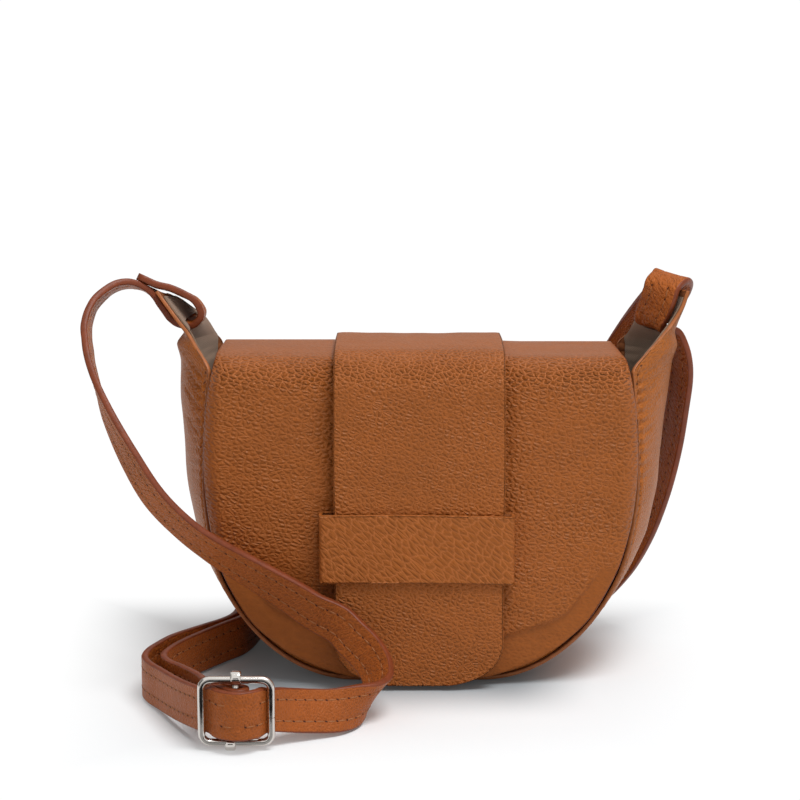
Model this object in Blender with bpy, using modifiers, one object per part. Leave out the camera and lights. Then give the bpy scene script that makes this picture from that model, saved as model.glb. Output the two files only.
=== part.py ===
"""A full-flap saddle crossbody bag at rest, in metres, +Z up, its front facing -Y."""

import math

import bmesh
import bpy
from mathutils import Matrix, Vector

# Leather, lining and the clearance left between neighbours.
LEATHER = 0.0016
LINING = 0.0008
GAP = 0.0003

# Body outline seen from the front, on the outside of the gusset.
HALF_DEPTH = 0.031
FLOOR_HALF_WIDTH = 0.026
SIDE_HALF_WIDTH = 0.0912
SHOULDER_HEIGHT = 0.085
RIM_HEIGHT = 0.1315
RIM_NARROWING = 0.003
RIM_NARROWING_EXPONENT_share = 1.5
FLOOR_STATIONS = 3
CURVE_STATIONS = 14
SIDE_STATIONS = 5

# How far the gusset bulges outwards, left and right side.
BULGE_FULL_HEIGHT = 0.060
BASE_BULGE_LEFT = 0.0055
BASE_BULGE_RIGHT = 0.0075
RIM_BULGE_LEFT = 0.0085
RIM_BULGE_RIGHT = 0.0115
RIM_BULGE_EXPONENT_share = 3.0

# Strap ears above the rim: front edge point, rear edge point, bulge.
EAR_LEFT = (
    ((0.0906, -0.0253, 0.1393), (0.0882, 0.0262, 0.1372), 0.0110),
    ((0.0961, -0.0182, 0.1451), (0.0926, 0.0190, 0.1446), 0.0024),
    ((0.0993, -0.0148, 0.1482), (0.0958, 0.0142, 0.1484), 0.0018),
    ((0.1046, -0.0120, 0.1548), (0.1002, 0.0052, 0.1542), 0.0014),
    ((0.1092, -0.0092, 0.1608), (0.1064, -0.0036, 0.1592), 0.0006),
)
EAR_RIGHT = (
    ((0.0936, -0.0243, 0.1385), (0.0889, 0.0270, 0.1365), 0.0150),
    ((0.1011, -0.0170, 0.1445), (0.0922, 0.0195, 0.1435), 0.0070),
    ((0.1048, -0.0140, 0.1480), (0.0952, 0.0140, 0.1495), 0.0050),
    ((0.1096, -0.0113, 0.1550), (0.0967, 0.0085, 0.1560), 0.0035),
    ((0.1119, -0.0100, 0.1612), (0.0975, 0.0050, 0.1610), 0.0020),
)
EAR_SKEW_shares = (0.3, 0.6, 0.6, 0.5, 0.4)
EAR_STEPS = 2

# Rows across the gusset, from its front edge to its rear edge.
GUSSET_ROW_shares = (-1.0, -0.9, -0.75, -0.5, -0.25, 0.0, 0.25, 0.5, 0.75, 0.9, 1.0)
LINING_ROW_shares = (-1.0, -0.8, -0.5, -0.2, 0.2, 0.5, 0.8, 1.0)
LINING_REACH_share = 0.90
EAR_LINING_REACH_share = 0.985
NORMAL_STEP_share = 0.01

# Strap slots through the ears.
SLOT_WIDTH = 0.0188
SLOT_HEIGHT = 0.0046
SLOT_CUT_DEPTH = 0.012
SLOT_LEFT = (-0.0963, 0.0020, 0.1463)
SLOT_LEFT_TURN_share = (0.16, 0.987)
SLOT_RIGHT = (0.1008, 0.0038, 0.1440)
SLOT_RIGHT_TURN_share = (-0.507, 0.862)

# Front and back panels, with their turned rims.
PANEL_RECESS = 0.0006
PANEL_CORNER = 0.0015
RIM_INNER_share = 0.80
RIM_OUTER_share = 0.94
PANEL_EDGE_share = 0.985
CORNER_MID_share = 0.293
BACK_TOP_HALF_WIDTH = 0.079
PANEL_LINING_INSET = 0.0052
PANEL_LINING_DROP = 0.001

# Hidden magnetic snap and the layers between the front panel and the flap's face.
PANEL_FACE = HALF_DEPTH - PANEL_RECESS
SNAP_HEIGHT = 0.0580
SOCKET_RADIUS = 0.0085
SOCKET_HEAD = 0.0020
SOCKET_BACK = PANEL_FACE + GAP
SOCKET_FRONT = SOCKET_BACK + SOCKET_HEAD
SOCKET_RECESS_RADIUS = 0.0040
SOCKET_RECESS = 0.0014
SHANK_RADIUS = 0.0019
SHANK_HOLE = SHANK_RADIUS + GAP
HOLE_CUT_DEPTH = 0.0060
SOCKET_WASHER_RADIUS = 0.0070
SOCKET_WASHER = 0.0006
SOCKET_WASHER_FRONT = PANEL_FACE - LEATHER - GAP
SOCKET_SHANK_END = SOCKET_WASHER_FRONT - SOCKET_WASHER
PANEL_LINING_GAP = GAP + SOCKET_WASHER + GAP
STUD_RADIUS = 0.0080
STUD_HEAD = 0.0012
STUD_BACK = SOCKET_FRONT + GAP
STUD_FRONT = STUD_BACK + STUD_HEAD
STUD_POST = 0.0010
STUD_POST_RADIUS = 0.0025
STUD_POST_END = STUD_BACK - STUD_POST
STIFFENER = 0.0008
FLAP_LINING_DEPTH = STUD_FRONT + GAP + LINING
STUD_WASHER_RADIUS = 0.0070
STUD_WASHER = 0.0005
STUD_WASHER_FRONT = FLAP_LINING_DEPTH + GAP + STUD_WASHER
STUD_SHANK_END = STUD_WASHER_FRONT
FLAP_FACE_DEPTH = FLAP_LINING_DEPTH + GAP + STIFFENER + GAP + LEATHER

# Flap: hinge line, arch, front bend and outline of the hanging front.
HINGE_SETBACK = 0.0010
HINGE_DEPTH = HALF_DEPTH + HINGE_SETBACK
HINGE_HEIGHT = 0.1332
ARCH_HEIGHT = 0.1377
BEND_RADIUS = 0.012
FLAP_REAR_INSET = 0.0001
BACK_TOP_HEIGHT = HINGE_HEIGHT - LEATHER - GAP - FLAP_REAR_INSET
ARCH_STATIONS = 7
BEND_STATIONS = 5
FLAP_REAR_HALF_WIDTH = 0.0810
FLAP_BEND_HALF_WIDTH = 0.0845
FLAP_COLUMN_shares = (-1.0, -0.6, -0.2, 0.2, 0.6, 1.0)
FLAP_OUTLINE = (
    (0.0866, 0.1263),
    (0.0873, 0.1180),
    (0.0880, 0.1050),
    (0.0883, 0.0900),
    (0.0874, 0.0750),
    (0.0856, 0.0620),
    (0.0820, 0.0500),
    (0.0765, 0.0386),
    (0.0700, 0.0284),
    (0.0620, 0.0206),
    (0.0520, 0.0141),
    (0.0400, 0.0089),
    (0.0270, 0.0050),
    (0.0140, 0.0032),
)
FLAP_LINING_START = 0.022
FLAP_LINING_INSET = 0.0006
LINING_STEP_TOP = 0.1225
LINING_STEP_FOOT = 0.1190
STIFFENER_OUTLINE = (
    (0.0800, 0.1180),
    (0.0800, 0.0750),
    (0.0760, 0.0500),
    (0.0670, 0.0345),
    (0.0520, 0.0275),
    (0.0340, 0.0225),
    (0.0160, 0.0200),
)
STIFFENER_HOLE = 0.0092

# Closure tab, over the flap from behind the hinge to the floor edge.
BAND_WALL = 0.0014
TAB_HALF_WIDTH = 0.0352
TAB_CORE = 0.0010
TAB_BACKING = 0.0008
TAB_REAR_DEPTH = 0.0300
TAB_FLOOR = 0.0010
TAB_ROUND_HEIGHT = 0.0210
TAB_ROUND_EXPONENT_share = 2.5
TAB_ROUND_STEPS = 9
TAB_TOP = TAB_BACKING + GAP + TAB_CORE + GAP + LEATHER
TAB_STANDOFF_TOP = GAP
TAB_STANDOFF_FRONT = GAP + BAND_WALL + GAP
TAB_COLUMN_shares = (-1.0, -0.33, 0.33, 1.0)

# Keeper band, a sleeve across the flap that the tab passes through.
BAND_LEFT = -0.0410
BAND_RIGHT = 0.0390
BAND_FOOT = 0.0460
BAND_HEIGHT = 0.0290
BAND_BACK_DEPTH = FLAP_FACE_DEPTH + GAP
BAND_FRONT_DEPTH = FLAP_FACE_DEPTH + TAB_STANDOFF_FRONT + TAB_TOP + GAP + BAND_WALL
BAND_ROUND = 0.0024
BAND_INNER_ROUND = 0.0010
ROUND_STEPS = 5

TURN_STEPS = 32

# Shoulder strap, 17.5 x 2.8 mm: route of its middle and the way its width points.
STRAP_WIDTH = 0.0175
STRAP_THICKNESS = 0.0028
STRAP_STEPS = 2
STRAP_ROUTE = (
    (-0.1172, 0.0009, 0.1657),
    (-0.1139, 0.0009, 0.1641),
    (-0.1094, 0.0009, 0.1621),
    (-0.1038, 0.0009, 0.1607),
    (-0.0984, 0.0009, 0.1583),
    (-0.0933, 0.0006, 0.1554),
    (-0.0908, 0.0006, 0.1504),
    (-0.0927, 0.0011, 0.1466),
    (-0.0963, 0.0020, 0.1461),
    (-0.0995, 0.0024, 0.1470),
    (-0.1025, 0.0024, 0.1494),
    (-0.1050, 0.0022, 0.1522),
    (-0.1077, 0.0020, 0.1550),
    (-0.1106, 0.0017, 0.1580),
    (-0.1140, 0.0013, 0.1604),
    (-0.1181, 0.0004, 0.1619),
    (-0.1229, -0.0016, 0.1624),
    (-0.1278, -0.0046, 0.1611),
    (-0.1336, -0.0094, 0.1565),
    (-0.1360, -0.0134, 0.1517),
    (-0.1367, -0.0181, 0.1463),
    (-0.1359, -0.0232, 0.1409),
    (-0.1346, -0.0280, 0.1356),
    (-0.1318, -0.0326, 0.1275),
    (-0.1268, -0.0384, 0.1156),
    (-0.1174, -0.0452, 0.0986),
    (-0.1072, -0.0490, 0.0829),
    (-0.0946, -0.0500, 0.0700),
    (-0.0844, -0.0490, 0.0619),
    (-0.0736, -0.0467, 0.0543),
    (-0.0526, -0.0458, 0.0410),
    (-0.0433, -0.0468, 0.0348),
    (-0.0326, -0.0500, 0.0298),
    (-0.0274, -0.0535, 0.0253),
    (-0.0215, -0.0585, 0.0208),
    (-0.0175, -0.0660, 0.0165),
    (-0.0168, -0.0750, 0.0128),
    (-0.0195, -0.0840, 0.0102),
    (-0.0255, -0.0910, 0.0092),
    (-0.0330, -0.0965, 0.0092),
    (-0.0420, -0.1010, 0.0105),
    (-0.0505, -0.1065, 0.0127),
    (-0.0566, -0.1116, 0.0147),
    (-0.0608, -0.1150, 0.0153),
    (-0.0640, -0.1196, 0.0156),
    (-0.0705, -0.1224, 0.0156),
    (-0.0778, -0.1194, 0.0156),
    (-0.0811, -0.1145, 0.0155),
    (-0.0845, -0.1120, 0.0151),
    (-0.0905, -0.1015, 0.0134),
    (-0.0975, -0.0870, 0.0114),
    (-0.1045, -0.0715, 0.0098),
    (-0.1103, -0.0600, 0.0092),
    (-0.1124, -0.0525, 0.0092),
    (-0.1114, -0.0435, 0.0092),
    (-0.1080, -0.0345, 0.0092),
    (-0.1030, -0.0245, 0.0092),
    (-0.0905, -0.0095, 0.0092),
    (-0.0835, -0.0015, 0.0092),
    (-0.0795, 0.0055, 0.0092),
    (-0.0775, 0.0160, 0.0092),
    (-0.0765, 0.0290, 0.0092),
    (-0.0710, 0.0410, 0.0092),
    (-0.0580, 0.0510, 0.0092),
    (-0.0350, 0.0570, 0.0092),
    (0.0000, 0.0600, 0.0092),
    (0.0300, 0.0600, 0.0092),
    (0.0550, 0.0580, 0.0094),
    (0.0750, 0.0540, 0.0140),
    (0.0880, 0.0480, 0.0280),
    (0.0970, 0.0410, 0.0450),
    (0.1040, 0.0330, 0.0660),
    (0.1085, 0.0255, 0.0880),
    (0.1105, 0.0185, 0.1080),
    (0.1108, 0.0125, 0.1240),
    (0.1080, 0.0075, 0.1360),
    (0.1045, 0.0060, 0.1424),
    (0.1010, 0.0039, 0.1440),
    (0.0969, 0.0017, 0.1453),
    (0.0970, 0.0000, 0.1488),
    (0.0982, -0.0017, 0.1526),
    (0.1000, -0.0039, 0.1584),
    (0.1013, -0.0037, 0.1630),
    (0.1046, -0.0006, 0.1656),
    (0.1063, 0.0035, 0.1645),
    (0.1060, 0.0090, 0.1603),
    (0.1040, 0.0160, 0.1550),
    (0.0998, 0.0270, 0.1465),
    (0.0945, 0.0390, 0.1350),
    (0.0870, 0.0460, 0.1200),
    (0.0770, 0.0495, 0.1000),
    (0.0620, 0.0505, 0.0780),
    (0.0440, 0.0505, 0.0550),
    (0.0220, 0.0500, 0.0340),
    (-0.0020, 0.0495, 0.0190),
    (-0.0240, 0.0485, 0.0115),
    (-0.0420, 0.0460, 0.0092),
    (-0.0580, 0.0415, 0.0092),
    (-0.0668, 0.0350, 0.0092),
    (-0.0700, 0.0240, 0.0092),
    (-0.0723, 0.0130, 0.0092),
    (-0.0760, 0.0022, 0.0092),
    (-0.0825, -0.0070, 0.0092),
    (-0.0900, -0.0180, 0.0092),
    (-0.0980, -0.0310, 0.0092),
    (-0.1030, -0.0420, 0.0092),
    (-0.1048, -0.0510, 0.0092),
    (-0.1023, -0.0585, 0.0093),
    (-0.0965, -0.0670, 0.0098),
    (-0.0910, -0.0780, 0.0111),
    (-0.0870, -0.0890, 0.0127),
    (-0.0848, -0.0980, 0.0141),
    (-0.0835, -0.1045, 0.0150),
    (-0.0806, -0.1100, 0.0155),
    (-0.0762, -0.1152, 0.0156),
    (-0.0729, -0.1181, 0.0156),
    (-0.0705, -0.1190, 0.0156),
    (-0.0684, -0.1181, 0.0156),
    (-0.0675, -0.1160, 0.0156),
    (-0.0684, -0.1139, 0.0156),
    (-0.0705, -0.1130, 0.0156),
    (-0.0745, -0.1108, 0.0156),
    (-0.0774, -0.1072, 0.0156),
)
STRAP_TURN_shares = (
    (-0.11, 0.98, -0.19),
    (-0.11, 0.98, -0.19),
    (-0.11, 0.98, -0.19),
    (-0.11, 0.98, -0.19),
    (-0.11, 0.98, -0.19),
    (-0.06, 0.98, -0.14),
    (-0.02, 0.99, -0.10),
    (0.08, 0.99, -0.04),
    (0.16, 0.99, 0.00),
    (0.16, 0.99, 0.00),
    (0.16, 0.99, 0.00),
    (0.13, 0.99, -0.03),
    (0.06, 0.99, -0.08),
    (-0.02, 0.98, -0.14),
    (-0.08, 0.97, -0.20),
    (-0.07, 0.97, -0.24),
    (-0.09, 0.95, -0.29),
    (-0.05, 0.95, -0.30),
    (-0.02, 0.95, -0.30),
    (-0.01, 0.96, -0.29),
    (0.01, 0.97, -0.26),
    (0.00, 0.97, -0.26),
    (-0.02, 0.97, -0.24),
    (-0.08, 0.97, -0.22),
    (-0.29, 0.93, -0.22),
    (-0.45, 0.83, -0.32),
    (-0.49, 0.76, -0.42),
    (-0.45, 0.73, -0.50),
    (-0.38, 0.68, -0.62),
    (-0.39, 0.60, -0.68),
    (-0.44, 0.46, -0.76),
    (-0.38, 0.34, -0.86),
    (-0.32, 0.16, -0.94),
    (-0.42, 0.12, -0.90),
    (-0.58, 0.25, -0.77),
    (-0.62, 0.48, -0.62),
    (-0.60, 0.52, -0.60),
    (-0.42, 0.25, -0.86),
    (-0.18, -0.15, -0.97),
    (0.00, -0.38, -0.92),
    (0.04, -0.38, -0.92),
    (0.00, -0.22, -0.97),
    (0.00, -0.05, -1.00),
    (0.00, 0.00, -1.00),
)
STRAP_UPRIGHT_share = (0.0, 0.0, -1.0)
STRAP_UPRIGHT_STATIONS = 24
STRAP_RIGHT_TURN_shares = (
    (0.10, -0.10, -0.98),
    (0.25, -0.30, -0.90),
    (0.36, -0.55, -0.72),
    (0.38, -0.75, -0.50),
    (0.38, -0.86, -0.30),
    (0.38, -0.90, -0.15),
    (0.42, -0.89, -0.05),
    (0.48, -0.87, 0.00),
    (0.50, -0.86, 0.00),
    (0.507, -0.862, 0.00),
    (0.52, -0.85, 0.00),
    (0.56, -0.82, 0.00),
    (0.62, -0.78, 0.00),
    (0.68, -0.73, -0.04),
    (0.72, -0.69, -0.08),
    (0.74, -0.66, -0.10),
    (0.84, -0.48, -0.22),
    (0.90, -0.20, -0.36),
    (0.92, -0.05, -0.38),
    (0.93, 0.08, -0.36),
    (0.90, 0.12, -0.42),
    (0.88, 0.05, -0.48),
    (0.86, 0.00, -0.51),
    (0.82, 0.00, -0.57),
    (0.76, 0.00, -0.65),
    (0.62, 0.00, -0.78),
    (0.45, 0.00, -0.89),
    (0.22, 0.00, -0.97),
)

# Slider: wire frame and the bar across it.
SLIDER_X = -0.0705
SLIDER_DEPTH = 0.1160
SLIDER_HEIGHT = 0.0156
WIRE_RADIUS = 0.0014
FRAME_HALF_WIDTH = 0.0136
FRAME_HALF_HEIGHT = 0.0128
FRAME_ROUND = 0.0036
WIRE_STEPS = 6
BAR_RADIUS = 0.0012
BAR_HALF_LENGTH = 0.01075
SLEEVE_HOLE = 0.0017
SLEEVE_RADIUS = 0.0024
SLEEVE_HALF_LENGTH = 0.0021

BODY_CENTRE = (0.0, 0.0, 0.080)

TAN = (0.40, 0.150, 0.048)
TAN_DARK = (0.26, 0.075, 0.028)
TAUPE = (0.26, 0.175, 0.125)
BOARD = (0.30, 0.22, 0.15)
NICKEL = (0.62, 0.61, 0.58)
LEATHER_ROUGHNESS_share = 0.55
LINING_ROUGHNESS_share = 0.90
METAL_ROUGHNESS_share = 0.22
METALLIC_share = 1.0


def clear_scene():
    for obj in list(bpy.data.objects):
        bpy.data.objects.remove(obj, do_unlink=True)


def collection(name):
    made = bpy.data.collections.new(name)
    bpy.context.scene.collection.children.link(made)
    return made


def material(name, colour, roughness, metallic):
    made = bpy.data.materials.new(name)
    made.use_nodes = True
    shader = made.node_tree.nodes["Principled BSDF"]
    shader.inputs["Base Color"].default_value = (*colour, 1.0)
    shader.inputs["Roughness"].default_value = roughness
    shader.inputs["Metallic"].default_value = metallic
    return made


def place(obj, name, colour, roughness, metallic):
    PIECES.objects.link(obj)
    obj.data.materials.append(material(name, colour, roughness, metallic))
    return obj


def leather(obj, colour=TAN):
    return place(obj, obj.name + "_leather", colour, LEATHER_ROUGHNESS_share, 0.0)


def cloth(obj):
    return place(obj, obj.name + "_cloth", TAUPE, LINING_ROUGHNESS_share, 0.0)


def board(obj):
    return place(obj, obj.name + "_board", BOARD, LINING_ROUGHNESS_share, 0.0)


def metal(obj):
    return place(
        obj, obj.name + "_nickel", NICKEL, METAL_ROUGHNESS_share, METALLIC_share
    )


def smooth_between(a, b, c, d, share):
    """The point this far from b to c on the curve through a, b, c and d."""
    knots = [0.0]
    for start, end in ((a, b), (b, c), (c, d)):
        knots.append(knots[-1] + max((end - start).length, GAP) ** 0.5)
    t = knots[1] + share * (knots[2] - knots[1])

    def mix(p, q, low, high):
        return p.lerp(q, (t - low) / (high - low))

    first = mix(a, b, knots[0], knots[1])
    second = mix(b, c, knots[1], knots[2])
    third = mix(c, d, knots[2], knots[3])
    left = mix(first, second, knots[0], knots[2])
    right = mix(second, third, knots[1], knots[3])
    return mix(left, right, knots[1], knots[2])


def smoothed(points, cuts):
    """The points, with this many more on the smooth curve between each two."""
    rows = [Vector(point) for point in points]
    ends = [2 * rows[0] - rows[1]] + rows + [2 * rows[-1] - rows[-2]]
    found = []
    for i in range(len(rows) - 1):
        found.append(rows[i])
        for k in range(cuts):
            share = (k + 1) / (cuts + 1)
            found.append(smooth_between(*ends[i : i + 4], share))
    return found + [rows[-1]]


def surface(name, points, faces):
    """An open surface as an object, its faces turned away from the body's centre."""
    shape = bmesh.new()
    made = [shape.verts.new(point) for point in points]
    for face in faces:
        shape.faces.new([made[i] for i in face])
    bmesh.ops.recalc_face_normals(shape, faces=shape.faces)
    shape.normal_update()
    centre = Vector(BODY_CENTRE)
    facing = sum(
        face.normal.dot(face.calc_center_median() - centre) * face.calc_area()
        for face in shape.faces
    )
    if facing < 0:
        bmesh.ops.reverse_faces(shape, faces=shape.faces)
    for face in shape.faces:
        face.smooth = True
    mesh = bpy.data.meshes.new(name)
    shape.to_mesh(mesh)
    shape.free()
    return bpy.data.objects.new(name, mesh)


def grid_faces(rows, columns):
    return [
        (
            i * columns + j,
            i * columns + j + 1,
            (i + 1) * columns + j + 1,
            (i + 1) * columns + j,
        )
        for i in range(rows - 1)
        for j in range(columns - 1)
    ]


def thicken(obj, thickness, offset=-1.0, even=True):
    solidify = obj.modifiers.new("thickness", "SOLIDIFY")
    solidify.thickness = thickness
    solidify.offset = offset
    solidify.use_even_offset = even
    return obj


def cut(obj, cutter):
    boolean = obj.modifiers.new("cut", "BOOLEAN")
    boolean.solver = "EXACT"
    boolean.operation = "DIFFERENCE"
    boolean.object = cutter
    return obj


def hide(obj):
    CUTTERS.objects.link(obj)
    obj.hide_render = True
    obj.display_type = "WIRE"
    return obj


def outline_stations():
    """Half of the body outline from the floor's middle to the rim: x, z and outward direction."""
    found = []
    for i in range(FLOOR_STATIONS):
        x = FLOOR_HALF_WIDTH * i / FLOOR_STATIONS
        found.append((x, 0.0, Vector((0, 0, -1))))
    reach = SIDE_HALF_WIDTH - FLOOR_HALF_WIDTH
    for i in range(CURVE_STATIONS):
        turn = math.pi / 2 * i / CURVE_STATIONS
        x = FLOOR_HALF_WIDTH + reach * math.sin(turn)
        z = SHOULDER_HEIGHT * (1 - math.cos(turn))
        away = Vector((math.sin(turn) / reach, 0, -math.cos(turn) / SHOULDER_HEIGHT))
        found.append((x, z, away.normalized()))
    rise = RIM_HEIGHT - SHOULDER_HEIGHT
    for i in range(SIDE_STATIONS + 1):
        share = i / SIDE_STATIONS
        x = SIDE_HALF_WIDTH - RIM_NARROWING * share**RIM_NARROWING_EXPONENT_share
        found.append((x, SHOULDER_HEIGHT + rise * share, Vector((1, 0, 0))))
    return found


def body_bulge(height, right):
    base = BASE_BULGE_RIGHT if right else BASE_BULGE_LEFT
    rim = RIM_BULGE_RIGHT if right else RIM_BULGE_LEFT
    return (
        base * min(1.0, height / BULGE_FULL_HEIGHT)
        + rim * (height / RIM_HEIGHT) ** RIM_BULGE_EXPONENT_share
    )


def body_rows(right):
    """(front edge, rear edge, bulge, skew) of each body station on one side."""
    found = []
    for x, z, away in outline_stations():
        found.append(
            (
                Vector((x, -HALF_DEPTH, z)),
                Vector((x, HALF_DEPTH, z)),
                away * body_bulge(z, right),
                0.0,
            )
        )
    return found


def ear_rows(right, last_body, rim):
    """The same for the stations of an ear, past the rim."""
    table = EAR_RIGHT if right else EAR_LEFT
    fronts = smoothed([last_body[0], rim[0]] + [row[0] for row in table], EAR_STEPS)
    rears = smoothed([last_body[1], rim[1]] + [row[1] for row in table], EAR_STEPS)
    bulges = [last_body[2].length, rim[2].length] + [row[2] for row in table]
    skews = [0.0, 0.0] + list(EAR_SKEW_shares)
    found = []
    for i in range(EAR_STEPS + 2, len(fronts)):
        low = min(i // (EAR_STEPS + 1), len(bulges) - 2)
        share = i / (EAR_STEPS + 1) - low
        bulge = bulges[low] + share * (bulges[low + 1] - bulges[low])
        skew = skews[low] + share * (skews[low + 1] - skews[low])
        found.append((fronts[i], rears[i], Vector((bulge, 0, 0)), skew))
    return found


def mirrored(row):
    flip = Vector((-1, 1, 1))
    return (row[0] * flip, row[1] * flip, row[2] * flip, row[3])


def side_rows(right, ears):
    rows = body_rows(right)
    if ears:
        rows += ear_rows(right, rows[-2], rows[-1])
    return rows


def strip_rows(ears):
    """All stations of the gusset strip, from the left end to the right end."""
    left = [mirrored(row) for row in side_rows(False, ears)]
    return left[:0:-1] + side_rows(True, ears)


def on_section(row, share):
    front, rear, bulge, skew = row
    swell = (1 - share * share) * (1 - skew * share)
    return front * (1 - share) / 2 + rear * (1 + share) / 2 + bulge * swell


def outward(rows, i, share):
    """The gusset's outward direction at station i, this far across."""
    before = rows[max(i - 1, 0)]
    after = rows[min(i + 1, len(rows) - 1)]
    along = on_section(after, share) - on_section(before, share)
    across = on_section(rows[i], share + NORMAL_STEP_share) - on_section(
        rows[i], share - NORMAL_STEP_share
    )
    away = across.cross(along).normalized()
    centre = Vector(BODY_CENTRE)
    return away if away.dot(on_section(rows[i], share) - centre) > 0 else -away


def under_gusset(rows, i, share, inset):
    return on_section(rows[i], share) - outward(rows, i, share) * inset


def make_gusset():
    rows = strip_rows(True)
    points = [on_section(row, share) for row in rows for share in GUSSET_ROW_shares]
    faces = grid_faces(len(rows), len(GUSSET_ROW_shares))
    gusset = leather(surface("gusset", points, faces))
    return cut(thicken(gusset, LEATHER, even=False), SLOTS)


def make_gusset_lining():
    rows = strip_rows(True)[1:-1]
    body = strip_rows(False)
    ears = (len(rows) - len(body)) // 2
    below = LEATHER + GAP + LEATHER + GAP
    above = LEATHER + GAP
    points = []
    for i in range(len(rows)):
        past = max(ears - i, i - (len(rows) - 1 - ears))
        lift = min(max(past / (EAR_STEPS + 1), 0.0), 1.0)
        reach = LINING_REACH_share + lift * (
            EAR_LINING_REACH_share - LINING_REACH_share
        )
        inset = below + lift * (above - below)
        for share in LINING_ROW_shares:
            points.append(under_gusset(rows, i, share * reach, inset))
    faces = grid_faces(len(rows), len(LINING_ROW_shares))
    lining = cloth(surface("gusset_lining", points, faces))
    return cut(thicken(lining, LINING, even=False), SLOTS)


def make_slots():
    shape = bmesh.new()
    for spot, turn in (
        (SLOT_LEFT, SLOT_LEFT_TURN_share),
        (SLOT_RIGHT, SLOT_RIGHT_TURN_share),
    ):
        angle = math.atan2(turn[1], turn[0])
        size = Matrix.Diagonal((SLOT_WIDTH, SLOT_CUT_DEPTH, SLOT_HEIGHT, 1))
        where = Matrix.Translation(spot) @ Matrix.Rotation(angle, 4, "Z")
        bmesh.ops.create_cube(shape, size=1.0, matrix=where @ size)
    mesh = bpy.data.meshes.new("slots")
    shape.to_mesh(mesh)
    shape.free()
    return hide(bpy.data.objects.new("slots", mesh))


def rim_ring(rows, side, share, inset, depth=None):
    """One line along a panel's turned rim, against the inside of the gusset."""
    found = []
    for i in range(len(rows)):
        if depth is None:
            found.append(under_gusset(rows, i, side * share, inset))
            continue
        away = outward(rows, i, side * share)
        away.y = 0.0
        point = on_section(rows[i], side * share) - away.normalized() * inset
        point.y = side * depth
        found.append(point)
    return found


def make_panel(name, side, top):
    rows = strip_rows(False)
    inset = LEATHER + GAP
    face_depth = HALF_DEPTH - PANEL_RECESS
    mid = CORNER_MID_share * PANEL_CORNER
    rings = (
        rim_ring(rows, side, RIM_INNER_share, inset),
        rim_ring(rows, side, RIM_OUTER_share, inset),
        rim_ring(rows, side, PANEL_EDGE_share, inset + mid, face_depth - mid),
        rim_ring(rows, side, PANEL_EDGE_share, inset + PANEL_CORNER, face_depth),
    )
    points = [point for ring in rings for point in ring]
    count = len(rows)
    faces = grid_faces(len(rings), count)
    loop = list(range(3 * count, 4 * count))
    for x, z in top:
        points.append(Vector((x, side * face_depth, z)))
        loop.append(len(points) - 1)
    faces.append(loop)
    return leather(thicken(surface(name, points, faces), LEATHER))


def panel_lining_outline():
    """The outline of a panel's lining, inset from the body outline, one side to the other."""
    half = []
    for x, z, away in outline_stations():
        half.append((x - away.x * PANEL_LINING_INSET, z - away.z * PANEL_LINING_INSET))
    half = [point for point in half if point[0] >= 0]
    half[-1] = (half[-1][0], RIM_HEIGHT - PANEL_LINING_DROP)
    return [(-x, z) for x, z in half[:0:-1]] + half


def plate(name, outline, holes, front_depth, thickness):
    """A flat plate facing the front, its front face this far in front of the middle."""
    curve = bpy.data.curves.new(name, "CURVE")
    curve.dimensions = "2D"
    curve.fill_mode = "BOTH"
    curve.extrude = thickness / 2
    for loop in [outline] + holes:
        spline = curve.splines.new("POLY")
        spline.points.add(len(loop) - 1)
        spline.use_cyclic_u = True
        for point, (x, z) in zip(spline.points, loop):
            point.co = (x, z, 0.0, 1.0)
    made = bpy.data.objects.new(name, curve)
    made.rotation_euler = (math.pi / 2, 0, 0)
    made.location = (0, thickness / 2 - front_depth, 0)
    return made


def circle(radius, height):
    return [
        (
            radius * math.cos(2 * math.pi * i / TURN_STEPS),
            height + radius * math.sin(2 * math.pi * i / TURN_STEPS),
        )
        for i in range(TURN_STEPS)
    ]


def make_panel_lining(name, side):
    front = HALF_DEPTH - PANEL_RECESS - LEATHER - PANEL_LINING_GAP
    depth = front if side < 0 else LINING - front
    return cloth(plate(name, panel_lining_outline(), [], depth, LINING))


def flap_profile(below):
    """(depth, height) along the flap from its rear edge to the top of its flat front."""
    found = []
    start = HINGE_DEPTH - FLAP_REAR_INSET
    end = BEND_RADIUS - FLAP_FACE_DEPTH
    rise = ARCH_HEIGHT - HINGE_HEIGHT
    for i in range(ARCH_STATIONS):
        share = i / ARCH_STATIONS
        depth = start + share * (end - start)
        height = HINGE_HEIGHT + rise * math.sin(share * math.pi / 2)
        slope = rise * math.cos(share * math.pi / 2) * math.pi / 2 / (end - start)
        tilt = math.atan(slope)
        found.append((depth + below * math.sin(tilt), height - below * math.cos(tilt)))
    for i in range(BEND_STATIONS + 1):
        turn = math.pi / 2 * i / BEND_STATIONS
        radius = BEND_RADIUS - below
        found.append(
            (
                end - radius * math.sin(turn),
                ARCH_HEIGHT - BEND_RADIUS + radius * math.cos(turn),
            )
        )
    return found


def flap_half_width(depth, height):
    """Half the flap's width at a place on its arch or bend."""
    bend = BEND_RADIUS - FLAP_FACE_DEPTH
    if depth > bend:
        share = (HINGE_DEPTH - depth) / (HINGE_DEPTH - bend)
        return FLAP_REAR_HALF_WIDTH + share * (
            FLAP_BEND_HALF_WIDTH - FLAP_REAR_HALF_WIDTH
        )
    share = min((ARCH_HEIGHT - height) / BEND_RADIUS, 1.0)
    return FLAP_BEND_HALF_WIDTH + share * (FLAP_OUTLINE[0][0] - FLAP_BEND_HALF_WIDTH)


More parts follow.
